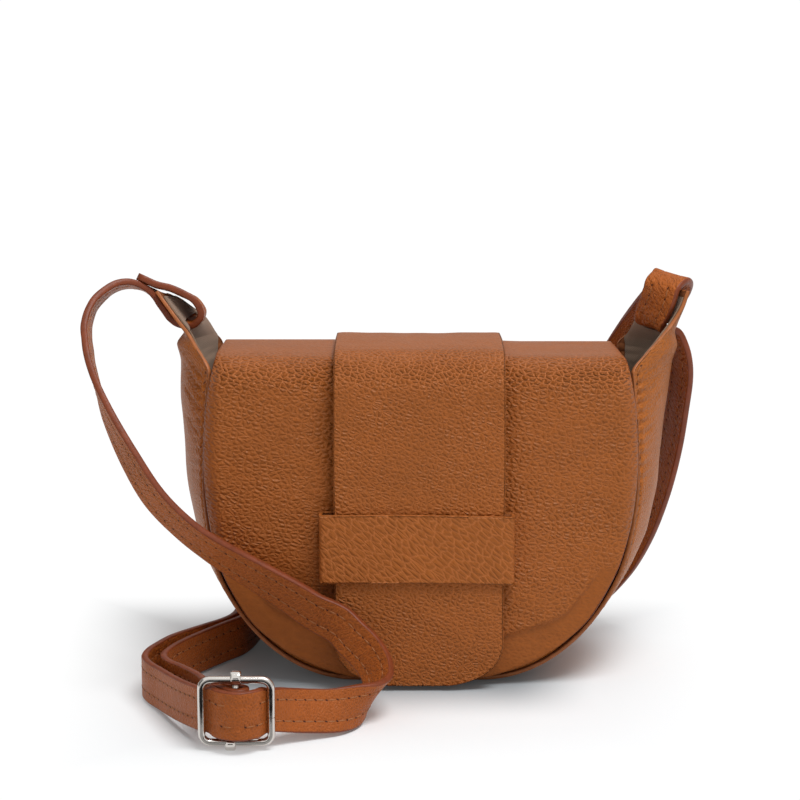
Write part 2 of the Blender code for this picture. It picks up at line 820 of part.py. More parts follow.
def draped(name, profile, widths, outline, columns):
    """A sheet over the top and down the front; its flat front ends in the outline."""
    points = []
    for (depth, height), half in zip(profile, widths):
        points += [Vector((half * share, depth, height)) for share in columns]
    faces = grid_faces(len(profile), len(columns))
    loop = [len(points) - len(columns) + j for j in range(len(columns))]
    front = profile[-1][0]
    whole = list(outline) + [(-x, z) for x, z in reversed(outline)]
    for x, z in whole:
        points.append(Vector((x, front, z)))
        loop.append(len(points) - 1)
    faces.append(loop)
    return surface(name, points, faces)


def make_flap():
    profile = flap_profile(0.0)
    widths = [flap_half_width(*row) for row in profile]
    sheet = draped("flap", profile, widths, FLAP_OUTLINE[1:], FLAP_COLUMN_shares)
    return leather(thicken(sheet, LEATHER))


def make_flap_lining():
    profile = [
        row for row in flap_profile(LEATHER + GAP) if row[0] < FLAP_LINING_START
    ]
    upper = profile[-1][0]
    profile.append(((upper - FLAP_LINING_DEPTH) / 2, LINING_STEP_TOP))
    profile.append((-FLAP_LINING_DEPTH, LINING_STEP_FOOT))
    widths = [flap_half_width(*row) - FLAP_LINING_INSET for row in profile]
    outline = [
        (x - FLAP_LINING_INSET, z + FLAP_LINING_INSET)
        for x, z in FLAP_OUTLINE
        if z < LINING_STEP_FOOT - BEND_RADIUS / 2
    ]
    sheet = draped("flap_lining", profile, widths, outline, FLAP_COLUMN_shares)
    return cut(cloth(thicken(sheet, LINING)), SNAP_CUT)


def make_stiffener():
    outline = list(STIFFENER_OUTLINE) + [(-x, z) for x, z in STIFFENER_OUTLINE[::-1]]
    front = FLAP_FACE_DEPTH - LEATHER - GAP
    hole = [circle(STIFFENER_HOLE, SNAP_HEIGHT)]
    return board(plate("flap_stiffener", outline, hole, front, STIFFENER))


def tab_outline():
    half = []
    shoulder = TAB_FLOOR + TAB_ROUND_HEIGHT
    power = 2 / TAB_ROUND_EXPONENT_share
    for i in range(TAB_ROUND_STEPS):
        turn = math.pi / 2 * i / TAB_ROUND_STEPS
        half.append(
            (
                TAB_HALF_WIDTH * math.cos(turn) ** power,
                shoulder - TAB_ROUND_HEIGHT * math.sin(turn) ** power,
            )
        )
    half.append((0.0, TAB_FLOOR))
    return half


def make_tab_layer(name, outer, thickness):
    """A layer of the tab whose outer face is this far above the standoff."""
    bend = BEND_RADIUS - FLAP_FACE_DEPTH
    top = flap_profile(-outer - TAB_STANDOFF_TOP)
    front = flap_profile(-outer - TAB_STANDOFF_FRONT)
    profile = []
    for high, low in zip(top, front):
        if high[0] > TAB_REAR_DEPTH:
            continue
        share = min(max((bend - low[0]) / BEND_RADIUS, 0.0), 1.0)
        profile.append(
            (
                high[0] + share * (low[0] - high[0]),
                high[1] + share * (low[1] - high[1]),
            )
        )
    first = flap_profile(-outer - TAB_STANDOFF_TOP)[:2]
    share = (first[0][0] - TAB_REAR_DEPTH) / (first[0][0] - first[1][0])
    start = first[0][1] + share * (first[1][1] - first[0][1])
    profile.insert(0, (TAB_REAR_DEPTH, start))
    points = []
    for depth, height in profile:
        points += [
            Vector((TAB_HALF_WIDTH * share, depth, height))
            for share in TAB_COLUMN_shares
        ]
    columns = len(TAB_COLUMN_shares)
    faces = grid_faces(len(profile), columns)
    loop = [len(points) - columns + j for j in range(columns)]
    half = tab_outline()
    for x, z in half + [(-x, z) for x, z in half[-2::-1]]:
        points.append(Vector((x, profile[-1][0], z)))
        loop.append(len(points) - 1)
    faces.append(loop)
    return thicken(surface(name, points, faces), thickness)


def rounded(left, right, low, high, radius):
    """A rounded rectangle as a loop of points."""
    found = []
    corners = (
        (right - radius, high - radius, 0),
        (left + radius, high - radius, 1),
        (left + radius, low + radius, 2),
        (right - radius, low + radius, 3),
    )
    for x, y, quarter in corners:
        for i in range(ROUND_STEPS + 1):
            turn = math.pi / 2 * (quarter + i / ROUND_STEPS)
            found.append((x + radius * math.cos(turn), y + radius * math.sin(turn)))
    return found


def make_keeper_band():
    curve = bpy.data.curves.new("keeper_band", "CURVE")
    curve.dimensions = "2D"
    curve.fill_mode = "BOTH"
    curve.extrude = BAND_HEIGHT / 2
    outer = rounded(
        BAND_LEFT, BAND_RIGHT, -BAND_FRONT_DEPTH, -BAND_BACK_DEPTH, BAND_ROUND
    )
    inner = rounded(
        BAND_LEFT + BAND_WALL,
        BAND_RIGHT - BAND_WALL,
        BAND_WALL - BAND_FRONT_DEPTH,
        -BAND_BACK_DEPTH - BAND_WALL,
        BAND_INNER_ROUND,
    )
    for loop in (outer, inner):
        spline = curve.splines.new("POLY")
        spline.points.add(len(loop) - 1)
        spline.use_cyclic_u = True
        for point, (x, y) in zip(spline.points, loop):
            point.co = (x, y, 0.0, 1.0)
    band = bpy.data.objects.new("keeper_band", curve)
    band.location = (0, 0, BAND_FOOT + BAND_HEIGHT / 2)
    return leather(band)


def turned(name, profile, closed):
    """A piece turned about the snap's axis; profile is (radius, distance to the front)."""
    mesh = bpy.data.meshes.new(name)
    points = [(radius, 0.0, depth) for radius, depth in profile]
    edges = [(i, i + 1) for i in range(len(points) - 1)]
    if closed:
        edges.append((len(points) - 1, 0))
    mesh.from_pydata(points, edges, [])
    made = bpy.data.objects.new(name, mesh)
    made.rotation_euler = (math.pi / 2, 0, 0)
    made.location = (0, 0, SNAP_HEIGHT)
    screw = made.modifiers.new("turn", "SCREW")
    screw.angle = 2 * math.pi
    screw.steps = TURN_STEPS
    screw.render_steps = TURN_STEPS
    screw.use_merge_vertices = True
    screw.merge_threshold = 0.00001
    screw.use_smooth_shade = True
    return made


def make_snap():
    recess = SOCKET_FRONT - SOCKET_RECESS
    metal(
        turned(
            "snap_socket",
            (
                (0.0, recess),
                (SOCKET_RECESS_RADIUS, recess),
                (SOCKET_RECESS_RADIUS, SOCKET_FRONT),
                (SOCKET_RADIUS, SOCKET_FRONT),
                (SOCKET_RADIUS, SOCKET_BACK),
                (SHANK_RADIUS, SOCKET_BACK),
                (SHANK_RADIUS, SOCKET_SHANK_END),
                (0.0, SOCKET_SHANK_END),
            ),
            False,
        )
    )
    make_washer(
        "snap_socket_washer", SOCKET_WASHER_RADIUS, SOCKET_WASHER_FRONT, SOCKET_WASHER
    )
    metal(
        turned(
            "snap_stud",
            (
                (0.0, STUD_SHANK_END),
                (SHANK_RADIUS, STUD_SHANK_END),
                (SHANK_RADIUS, STUD_FRONT),
                (STUD_RADIUS, STUD_FRONT),
                (STUD_RADIUS, STUD_BACK),
                (STUD_POST_RADIUS, STUD_BACK),
                (STUD_POST_RADIUS, STUD_POST_END),
                (0.0, STUD_POST_END),
            ),
            False,
        )
    )
    make_washer("snap_stud_washer", STUD_WASHER_RADIUS, STUD_WASHER_FRONT, STUD_WASHER)


def make_washer(name, radius, front, thickness):
    back = front - thickness
    metal(
        turned(
            name,
            (
                (SHANK_HOLE, front),
                (radius, front),
                (radius, back),
                (SHANK_HOLE, back),
            ),
            True,
        )
    )


def make_snap_cutter():
    shape = bmesh.new()
    bmesh.ops.create_cone(
        shape,
        cap_ends=True,
        segments=TURN_STEPS,
        radius1=SHANK_HOLE,
        radius2=SHANK_HOLE,
        depth=2 * HOLE_CUT_DEPTH,
    )
    mesh = bpy.data.meshes.new("snap_cut")
    shape.to_mesh(mesh)
    shape.free()
    cutter = bpy.data.objects.new("snap_cut", mesh)
    cutter.rotation_euler = (math.pi / 2, 0, 0)
    cutter.location = (0, -SOCKET_FRONT, SNAP_HEIGHT)
    return hide(cutter)


def strap_turns():
    """The way the strap's width points at each point of its route."""
    turns = list(STRAP_TURN_shares)
    turns += [STRAP_UPRIGHT_share] * STRAP_UPRIGHT_STATIONS
    turns += list(STRAP_RIGHT_TURN_shares)
    turns += [STRAP_UPRIGHT_share] * (len(STRAP_ROUTE) - len(turns))
    return turns


def make_strap():
    middle = smoothed(STRAP_ROUTE, STRAP_STEPS)
    turns = smoothed(strap_turns(), STRAP_STEPS)
    points = []
    for i in range(len(middle)):
        along = middle[min(i + 1, len(middle) - 1)] - middle[max(i - 1, 0)]
        along.normalize()
        width = turns[i] - along * turns[i].dot(along)
        half = width.normalized() * STRAP_WIDTH / 2
        points += [middle[i] - half, middle[i] + half]
    strap = surface("shoulder_strap", points, grid_faces(len(middle), 2))
    return leather(thicken(strap, STRAP_THICKNESS, 0.0, False), TAN_DARK)


def make_slider_frame():
    curve = bpy.data.curves.new("slider_frame", "CURVE")
    curve.dimensions = "3D"
    curve.bevel_depth = WIRE_RADIUS
    curve.bevel_resolution = WIRE_STEPS
    loop = rounded(
        SLIDER_X - FRAME_HALF_WIDTH,
        SLIDER_X + FRAME_HALF_WIDTH,
        SLIDER_HEIGHT - FRAME_HALF_HEIGHT,
        SLIDER_HEIGHT + FRAME_HALF_HEIGHT,
        FRAME_ROUND,
    )
    spline = curve.splines.new("POLY")
    spline.points.add(len(loop) - 1)
    spline.use_cyclic_u = True
    for point, (x, z) in zip(spline.points, loop):
        point.co = (x, -SLIDER_DEPTH, z, 1.0)
    return metal(bpy.data.objects.new("slider_frame", curve))


def cylinder(name, radius, half_length, location, along_x):
    shape = bmesh.new()
    bmesh.ops.create_cone(
        shape,
        cap_ends=True,
        segments=TURN_STEPS,
        radius1=radius,
        radius2=radius,
        depth=2 * half_length,
    )
    for face in shape.faces:
        face.smooth = len(face.verts) == 4
    mesh = bpy.data.meshes.new(name)
    if along_x:
        shape.transform(Matrix.Rotation(math.pi / 2, 4, "Y"))
    shape.to_mesh(mesh)
    shape.free()
    made = bpy.data.objects.new(name, mesh)
    made.location = location
    return made


def make_slider_bar():
    bar = metal(
        cylinder(
            "slider_bar",
            BAR_RADIUS,
            BAR_HALF_LENGTH,
            (SLIDER_X, -SLIDER_DEPTH, SLIDER_HEIGHT),
            False,
        )
    )
    for label, side in (("upper", 1), ("lower", -1)):
        where = (SLIDER_X, -SLIDER_DEPTH, SLIDER_HEIGHT + side * FRAME_HALF_HEIGHT)
        sleeve = hide(
            cylinder(label + "_sleeve", SLEEVE_RADIUS, SLEEVE_HALF_LENGTH, where, True)
        )
        hole = hide(
            cylinder(
                label + "_sleeve_hole",
                SLEEVE_HOLE,
                2 * SLEEVE_HALF_LENGTH,
                where,
                True,
            )
        )
        cut(sleeve, hole)
        joined = bar.modifiers.new("join", "BOOLEAN")
        joined.solver = "EXACT"
        joined.operation = "UNION"
        joined.object = sleeve
    return bar


clear_scene()
PIECES = collection("crossbody_bag")
CUTTERS = collection("cutters")
CUTTERS.hide_render = True
SLOTS = make_slots()
SNAP_CUT = make_snap_cutter()

make_gusset()
make_gusset_lining()
cut(
    make_panel("front_panel", -1, ()),
    SNAP_CUT,
)
make_panel(
    "back_panel",
    1,
    (
        (BACK_TOP_HALF_WIDTH, BACK_TOP_HEIGHT),
        (-BACK_TOP_HALF_WIDTH, BACK_TOP_HEIGHT),
    ),
)
make_panel_lining("front_lining", -1)
make_panel_lining("back_lining", 1)
make_flap()
make_stiffener()
make_flap_lining()
leather(make_tab_layer("closure_tab", TAB_TOP, LEATHER))
board(make_tab_layer("tab_core", TAB_BACKING + GAP + TAB_CORE, TAB_CORE))
leather(make_tab_layer("tab_backing", TAB_BACKING, TAB_BACKING))
make_keeper_band()
make_snap()
make_strap()
make_slider_frame()
make_slider_bar()

# The flap and all it carries turn together about the flap's sewn rear edge.
HINGE = bpy.data.objects.new("flap_hinge", None)
HINGE.empty_display_size = BEND_RADIUS
HINGE.location = (0, HINGE_DEPTH, HINGE_HEIGHT)
PIECES.objects.link(HINGE)
bpy.context.view_layer.update()
for carried in (
    "flap",
    "flap_stiffener",
    "flap_lining",
    "closure_tab",
    "tab_core",
    "tab_backing",
    "keeper_band",
    "snap_stud",
    "snap_stud_washer",
):
    moved = PIECES.objects[carried]
    moved.parent = HINGE
    moved.matrix_parent_inverse = HINGE.matrix_world.inverted()
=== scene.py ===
import math

import bmesh
import bpy
import numpy as np
from mathutils import Matrix, Vector, noise


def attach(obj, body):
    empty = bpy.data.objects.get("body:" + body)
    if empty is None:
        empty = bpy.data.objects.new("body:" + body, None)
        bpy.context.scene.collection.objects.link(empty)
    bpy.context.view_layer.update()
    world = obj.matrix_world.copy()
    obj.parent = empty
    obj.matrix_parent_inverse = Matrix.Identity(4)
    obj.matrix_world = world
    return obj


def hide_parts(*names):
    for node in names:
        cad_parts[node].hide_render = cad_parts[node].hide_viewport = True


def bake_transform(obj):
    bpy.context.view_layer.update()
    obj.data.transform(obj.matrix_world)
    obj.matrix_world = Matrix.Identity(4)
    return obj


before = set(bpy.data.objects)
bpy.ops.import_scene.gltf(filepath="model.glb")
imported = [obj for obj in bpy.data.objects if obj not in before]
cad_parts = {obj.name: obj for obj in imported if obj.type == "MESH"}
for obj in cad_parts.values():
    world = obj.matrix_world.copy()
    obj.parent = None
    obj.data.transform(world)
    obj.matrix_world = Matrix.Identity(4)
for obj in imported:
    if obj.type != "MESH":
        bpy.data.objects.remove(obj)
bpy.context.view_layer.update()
MM = 0.001


def in_scene(name, data):
    obj = bpy.data.objects.new(name, data)
    bpy.context.scene.collection.objects.link(obj)
    return obj


# Camera
camera_data = bpy.data.cameras.new("camera")
camera_data.lens = 124.2
camera_data.sensor_width = 36.0
camera = in_scene("camera", camera_data)
camera.location = (-0.0079, -1.1324, 0.3662)
camera.rotation_euler = (math.radians(77.4), 0, 0)
bpy.context.scene.camera = camera

# Strap route, in metres
STRAP_ROUTE = (
    (-0.1172, 0.0009, 0.1657), (-0.1139, 0.0009, 0.1641), (-0.1094, 0.0009, 0.1621),
    (-0.1038, 0.0009, 0.1607), (-0.0984, 0.0009, 0.1583), (-0.0933, 0.0006, 0.1554),
    (-0.0908, 0.0006, 0.1504), (-0.0927, 0.0011, 0.1466), (-0.0963, 0.0020, 0.1461),
    (-0.0995, 0.0024, 0.1470), (-0.1025, 0.0024, 0.1494), (-0.1050, 0.0022, 0.1522),
    (-0.1077, 0.0020, 0.1550), (-0.1106, 0.0017, 0.1580), (-0.1140, 0.0013, 0.1604),
    (-0.1181, 0.0004, 0.1619), (-0.1229, -0.0016, 0.1624), (-0.1278, -0.0046, 0.1611),
    (-0.1336, -0.0094, 0.1565), (-0.1360, -0.0134, 0.1517), (-0.1367, -0.0181, 0.1463),
    (-0.1359, -0.0232, 0.1409), (-0.1346, -0.0280, 0.1356), (-0.1318, -0.0326, 0.1275),
    (-0.1268, -0.0384, 0.1156), (-0.1174, -0.0452, 0.0986), (-0.1072, -0.0490, 0.0829),
    (-0.0946, -0.0500, 0.0700), (-0.0844, -0.0490, 0.0619), (-0.0736, -0.0467, 0.0543),
    (-0.0526, -0.0458, 0.0410), (-0.0433, -0.0468, 0.0348), (-0.0326, -0.0500, 0.0298),
    (-0.0274, -0.0535, 0.0253), (-0.0215, -0.0585, 0.0208), (-0.0175, -0.0660, 0.0165),
    (-0.0168, -0.0750, 0.0128), (-0.0195, -0.0840, 0.0102), (-0.0255, -0.0910, 0.0092),
    (-0.0330, -0.0965, 0.0092), (-0.0420, -0.1010, 0.0105), (-0.0505, -0.1065, 0.0127),
    (-0.0566, -0.1116, 0.0147), (-0.0608, -0.1150, 0.0153), (-0.0640, -0.1196, 0.0156),
    (-0.0705, -0.1224, 0.0156), (-0.0778, -0.1194, 0.0156), (-0.0811, -0.1145, 0.0155),
    (-0.0845, -0.1120, 0.0151), (-0.0905, -0.1015, 0.0134), (-0.0975, -0.0870, 0.0114),
    (-0.1045, -0.0715, 0.0098), (-0.1103, -0.0600, 0.0092), (-0.1124, -0.0525, 0.0092),
    (-0.1114, -0.0435, 0.0092), (-0.1080, -0.0345, 0.0092), (-0.1030, -0.0245, 0.0092),
    (-0.0905, -0.0095, 0.0092), (-0.0835, -0.0015, 0.0092), (-0.0795, 0.0055, 0.0092),
    (-0.0775, 0.0160, 0.0092), (-0.0765, 0.0290, 0.0092), (-0.0710, 0.0410, 0.0092),
    (-0.0580, 0.0510, 0.0092), (-0.0350, 0.0570, 0.0092), (0.0000, 0.0600, 0.0092),
    (0.0300, 0.0600, 0.0092), (0.0550, 0.0580, 0.0094), (0.0750, 0.0540, 0.0140), (0.0880, 0.0480, 0.0280),
    (0.0970, 0.0410, 0.0450), (0.1040, 0.0330, 0.0660), (0.1085, 0.0255, 0.0880), (0.1105, 0.0185, 0.1080),
    (0.1108, 0.0125, 0.1240), (0.1080, 0.0075, 0.1360), (0.1045, 0.0060, 0.1424), (0.1010, 0.0039, 0.1440),
    (0.0969, 0.0017, 0.1453), (0.0970, 0.0000, 0.1488), (0.0982, -0.0017, 0.1526),
    (0.1000, -0.0039, 0.1584), (0.1013, -0.0037, 0.1630), (0.1046, -0.0006, 0.1656),
    (0.1063, 0.0035, 0.1645), (0.1060, 0.0090, 0.1603), (0.1040, 0.0160, 0.1550), (0.0998, 0.0270, 0.1465),
    (0.0945, 0.0390, 0.1350), (0.0870, 0.0460, 0.1200), (0.0770, 0.0495, 0.1000), (0.0620, 0.0505, 0.0780),
    (0.0440, 0.0505, 0.0550), (0.0220, 0.0500, 0.0340), (-0.0020, 0.0495, 0.0190),
    (-0.0240, 0.0485, 0.0115), (-0.0420, 0.0460, 0.0092), (-0.0580, 0.0415, 0.0092),
    (-0.0668, 0.0350, 0.0092), (-0.0700, 0.0240, 0.0092), (-0.0723, 0.0130, 0.0092),
    (-0.0760, 0.0022, 0.0092), (-0.0825, -0.0070, 0.0092), (-0.0900, -0.0180, 0.0092),
    (-0.0980, -0.0310, 0.0092), (-0.1030, -0.0420, 0.0092), (-0.1048, -0.0510, 0.0092),
    (-0.1023, -0.0585, 0.0093), (-0.0965, -0.0670, 0.0098), (-0.0910, -0.0780, 0.0111),
    (-0.0870, -0.0890, 0.0127), (-0.0848, -0.0980, 0.0141), (-0.0835, -0.1045, 0.0150),
    (-0.0806, -0.1100, 0.0155), (-0.0762, -0.1152, 0.0156), (-0.0729, -0.1181, 0.0156),
    (-0.0705, -0.1190, 0.0156), (-0.0684, -0.1181, 0.0156), (-0.0675, -0.1160, 0.0156),
    (-0.0684, -0.1139, 0.0156), (-0.0705, -0.1130, 0.0156), (-0.0745, -0.1108, 0.0156),
    (-0.0774, -0.1072, 0.0156),
)

# Direction across the strap at the route's first points, and at those by the right ear
STRAP_TURNS = (
    (-0.11, 0.98, -0.19), (-0.11, 0.98, -0.19), (-0.11, 0.98, -0.19), (-0.11, 0.98, -0.19),
    (-0.11, 0.98, -0.19), (-0.06, 0.98, -0.14), (-0.02, 0.99, -0.10), (0.08, 0.99, -0.04),
    (0.16, 0.99, 0.00), (0.16, 0.99, 0.00), (0.16, 0.99, 0.00), (0.13, 0.99, -0.03), (0.06, 0.99, -0.08),
    (-0.02, 0.98, -0.14), (-0.08, 0.97, -0.20), (-0.07, 0.97, -0.24), (-0.09, 0.95, -0.29),
    (-0.05, 0.95, -0.30), (-0.02, 0.95, -0.30), (-0.01, 0.96, -0.29), (0.01, 0.97, -0.26),
    (0.00, 0.97, -0.26), (-0.02, 0.97, -0.24), (-0.08, 0.97, -0.22), (-0.29, 0.93, -0.22),
    (-0.45, 0.83, -0.32), (-0.49, 0.76, -0.42), (-0.45, 0.73, -0.50), (-0.38, 0.68, -0.62),
    (-0.39, 0.60, -0.68), (-0.44, 0.46, -0.76), (-0.38, 0.34, -0.86), (-0.32, 0.16, -0.94),
    (-0.42, 0.12, -0.90), (-0.58, 0.25, -0.77), (-0.62, 0.48, -0.62), (-0.60, 0.52, -0.60),
    (-0.42, 0.25, -0.86), (-0.18, -0.15, -0.97), (0.00, -0.38, -0.92), (0.04, -0.38, -0.92),
    (0.00, -0.22, -0.97), (0.00, -0.05, -1.00), (0.00, 0.00, -1.00),
)
RIGHT_TURNS = (
    (0.10, -0.10, -0.98), (0.25, -0.30, -0.90), (0.36, -0.55, -0.72), (0.38, -0.75, -0.50),
    (0.38, -0.86, -0.30), (0.38, -0.90, -0.15), (0.42, -0.89, -0.05), (0.48, -0.87, 0.00),
    (0.50, -0.86, 0.00), (0.507, -0.862, 0.00), (0.52, -0.85, 0.00), (0.56, -0.82, 0.00),
    (0.62, -0.78, 0.00), (0.68, -0.73, -0.04), (0.72, -0.69, -0.08), (0.74, -0.66, -0.10),
    (0.84, -0.48, -0.22), (0.90, -0.20, -0.36), (0.92, -0.05, -0.38), (0.93, 0.08, -0.36),
    (0.90, 0.12, -0.42), (0.88, 0.05, -0.48), (0.86, 0.00, -0.51), (0.82, 0.00, -0.57), (0.76, 0.00, -0.65),
    (0.62, 0.00, -0.78), (0.45, 0.00, -0.89), (0.22, 0.00, -0.97),
)


# Materials
class Graph:
    """A material's nodes, added one after another."""

    def __init__(self, name):
        self.material = bpy.data.materials.new(name)
        self.material.use_nodes = True
        self.tree = self.material.node_tree
        self.shader = self.tree.nodes["Principled BSDF"]

    def add(self, kind, **settings):
        made = self.tree.nodes.new(kind)
        for key, value in settings.items():
            setattr(made, key, value)
        return made

    def join(self, source, target):
        self.tree.links.new(source, target)

    def value(self, target, source):
        """Give a socket another one's output, a number, a vector or a colour."""
        if isinstance(source, (int, float)):
            target.default_value = source
        elif isinstance(source, tuple):
            target.default_value = source if target.type == "VECTOR" else (*source, 1.0)
        else:
            self.join(source, target)

    def feed(self, socket, source):
        self.value(self.shader.inputs[socket], source)

    def math(self, operation, a, b=0.0, clamp=False):
        made = self.add("ShaderNodeMath", operation=operation, use_clamp=clamp)
        self.value(made.inputs[0], a)
        self.value(made.inputs[1], b)
        return made.outputs[0]

    def vector(self, operation, a, b):
        made = self.add("ShaderNodeVectorMath", operation=operation)
        self.value(made.inputs[0], a)
        self.value(made.inputs["Scale" if operation == "SCALE" else 1], b)
        return made.outputs[0]

    def parts(self, source):
        made = self.add("ShaderNodeSeparateXYZ")
        self.join(source, made.inputs[0])
        return made.outputs

    def ramp(self, source, low, high, to_low=0.0, to_high=1.0, kind="SMOOTHSTEP"):
        made = self.add("ShaderNodeMapRange", interpolation_type=kind)
        self.value(made.inputs["Value"], source)
        for key, value in (("From Min", low), ("From Max", high), ("To Min", to_low), ("To Max", to_high)):
            made.inputs[key].default_value = value
        return made.outputs["Result"]

    def mix(self, share, a, b):
        made = self.add("ShaderNodeMix", data_type="RGBA")
        for socket, source in ((0, share), (6, a), (7, b)):
            self.value(made.inputs[socket], source)
        return made.outputs[2]

    def noise(self, where, scale, detail=3.0, rough=0.5, colour=False):
        made = self.add("ShaderNodeTexNoise")
        for key, value in (("Vector", where), ("Scale", scale), ("Detail", detail), ("Roughness", rough)):
            self.value(made.inputs[key], value)
        return made.outputs["Color" if colour else "Fac"]

    def inside(self):
        return self.add("ShaderNodeTexCoord").outputs["Object"]

    def placed(self, scale=(1, 1, 1), turn=0.0):
        """The piece's own flat coordinates, turned and then stretched."""
        source = self.add("ShaderNodeUVMap", uv_map="skin").outputs[0]
        for key, amount in (("Rotation", (0, 0, turn)), ("Scale", scale)):
            made = self.add("ShaderNodeMapping")
            self.join(source, made.inputs["Vector"])
            made.inputs[key].default_value = amount
            source = made.outputs[0]
        return source

    def warped(self, where, scale, amount):
        shift = self.vector("SUBTRACT", self.noise(where, scale, 2.0, 0.5, True), (0.5, 0.5, 0.5))
        return self.vector("ADD", where, self.vector("SCALE", shift, amount))

    def cells(self, where, scale):
        made = self.add("ShaderNodeTexVoronoi", feature="DISTANCE_TO_EDGE", voronoi_dimensions="2D")
        self.join(where, made.inputs["Vector"])
        made.inputs["Scale"].default_value = scale
        return made.outputs[0]

    def bump(self, height, distance):
        made = self.add("ShaderNodeBump")
        self.join(height, made.inputs["Height"])
        made.inputs["Distance"].default_value = distance
        return made.outputs["Normal"]


def leather(name, base, cell=1.9, turn=0.0, stretch=0.75, depth=0.42, rough=0.36, fold=0.25, valley_highlight=0.22):
    """Pebble-grain leather: puffed cells as deep as the mesh's grain says, their narrow valleys given a
    painted highlight, a lighter colour for light on the cells' upper slopes.
    """
    g = Graph(name)
    grain = g.add("ShaderNodeAttribute", attribute_name="grain").outputs["Fac"]
    flat = g.placed((stretch, 1.0, 1.0), turn)
    bent = g.warped(flat, 220.0, 0.0013)
    edge = g.cells(bent, 1000.0 / cell)
    domes = g.ramp(edge, 0.0, 0.50)
    small = g.ramp(g.cells(bent, 2300.0 / cell), 0.0, 0.40)
    folds = g.ramp(g.noise(g.placed((0.32 * stretch, 1.0, 1.0), turn), 620.0, 3.0, 0.6), 0.38, 0.62)
    height = g.math("MULTIPLY", domes, g.ramp(g.noise(flat, 60.0, 2.0), 0.35, 0.65, 0.60, 1.05))
    for layer, share in ((small, 0.13), (folds, fold), (g.noise(flat, 2600.0, 2.0), 0.10)):
        height = g.math("ADD", height, g.math("MULTIPLY", layer, share))
    g.feed("Normal", g.bump(g.math("MULTIPLY", height, grain), depth * MM))
    tone = g.ramp(g.noise(flat, 28.0, 4.0, 0.6), 0.3, 0.7, 0.90, 1.08, "LINEAR")
    tone = g.math("MULTIPLY", tone, g.ramp(g.noise(flat, 420.0, 2.0), 0.3, 0.7, 0.92, 1.07, "LINEAR"))
    # Painted highlight: the valleys are mixed towards a lighter tint, standing in for light catching the
    # cells' upper slopes; the grain attribute makes it stronger.
    painted_highlight_share = g.math("MULTIPLY", g.ramp(edge, 0.0, 0.16, valley_highlight, 0.0), grain, True)
    highlight_tint = tuple(min(1.0, c * 1.7 + 0.03) for c in base)
    g.feed("Base Color", g.mix(painted_highlight_share, g.vector("SCALE", base, tone), highlight_tint))
    dull = g.ramp(domes, 0.0, 1.0, rough + 0.10, rough, "LINEAR")
    g.feed("Roughness", g.math("MULTIPLY", dull, g.ramp(grain, 1.0, 2.1, 1.0, 0.70, "LINEAR")))
    g.feed("Specular Tint", (1.0, 0.80, 0.60))
    g.feed("Specular IOR Level", 0.30)
    return g.material


def painted(name, base, rough=0.42):
    """A cut edge, painted and rubbed smooth."""
    g = Graph(name)
    where = g.inside()
    g.feed("Normal", g.bump(g.noise(where, 900.0), 0.10 * MM))
    tone = g.ramp(g.noise(where, 260.0), 0.3, 0.7, 0.80, 1.12, "LINEAR")
    g.feed("Base Color", g.vector("SCALE", base, tone))
    g.feed("Roughness", rough)
    g.feed("Specular IOR Level", 0.30)
    return g.material


def woven(name, base, thread=0.45):
    """Close plain-woven lining."""
    g = Graph(name)
    flat = g.placed()
    place = g.parts(g.warped(flat, 90.0, 0.0004))
    turns = math.pi * 1000.0 / thread
    across, along = [g.math("SINE", g.math("MULTIPLY", place[k], turns)) for k in (0, 1)]
    weave = g.math("MULTIPLY", across, along)
    g.feed("Normal", g.bump(weave, 0.05 * MM))
    uneven = g.ramp(g.noise(flat, 60.0, 4.0), 0.3, 0.7, 0.88, 1.10, "LINEAR")
    tone = g.math("ADD", uneven, g.math("MULTIPLY", weave, 0.05))
    g.feed("Base Color", g.vector("SCALE", base, tone))
    g.feed("Roughness", 0.85)
    g.feed("Sheen Weight", 0.15)
    return g.material


PLATE = (0.66, 0.62, 0.58)


def nickel(name, dark=0.0):
    """Polished plate with fine wear; a round wire gets a painted reflection, a dark line down the middle of
    its front, darkened by this share.
    """
    g = Graph(name)
    where = g.inside()
    g.feed("Normal", g.bump(g.noise(where, 700.0), 0.02 * MM))
    facing = g.parts(g.add("ShaderNodeTexCoord").outputs["Normal"])[1]
    # Painted reflection: the colour turns dark where the surface faces straight to the front, standing in for
    # a dark studio reflection.
    line = g.ramp(facing, -0.97, -0.86, dark, 0.0)
    g.feed("Base Color", g.mix(line, PLATE, tuple(0.22 * c for c in PLATE)))
    g.feed("Metallic", 1.0)
    g.feed("Roughness", g.ramp(g.noise(where, 240.0, 4.0), 0.3, 0.7, 0.10, 0.24, "LINEAR"))
    return g.material


def fibre_board(name):
    """Pressed fibre board."""
    g = Graph(name)
    flecks = g.noise(g.inside(), 1400.0, 5.0, 0.7)
    g.feed("Normal", g.bump(flecks, 0.06 * MM))
    g.feed("Base Color", g.mix(g.ramp(flecks, 0.35, 0.65), (0.26, 0.19, 0.12), (0.36, 0.28, 0.19)))
    g.feed("Roughness", 0.9)
    return g.material


def sewing(name, base):
    """Twisted thread."""
    g = Graph(name)
    where = g.inside()
    g.feed("Normal", g.bump(g.noise(where, 4000.0, 2.0), 0.05 * MM))
    g.feed("Base Color", g.mix(g.noise(where, 1500.0, 2.0), base, tuple(c * 0.7 for c in base)))
    g.feed("Roughness", 0.7)
    return g.material


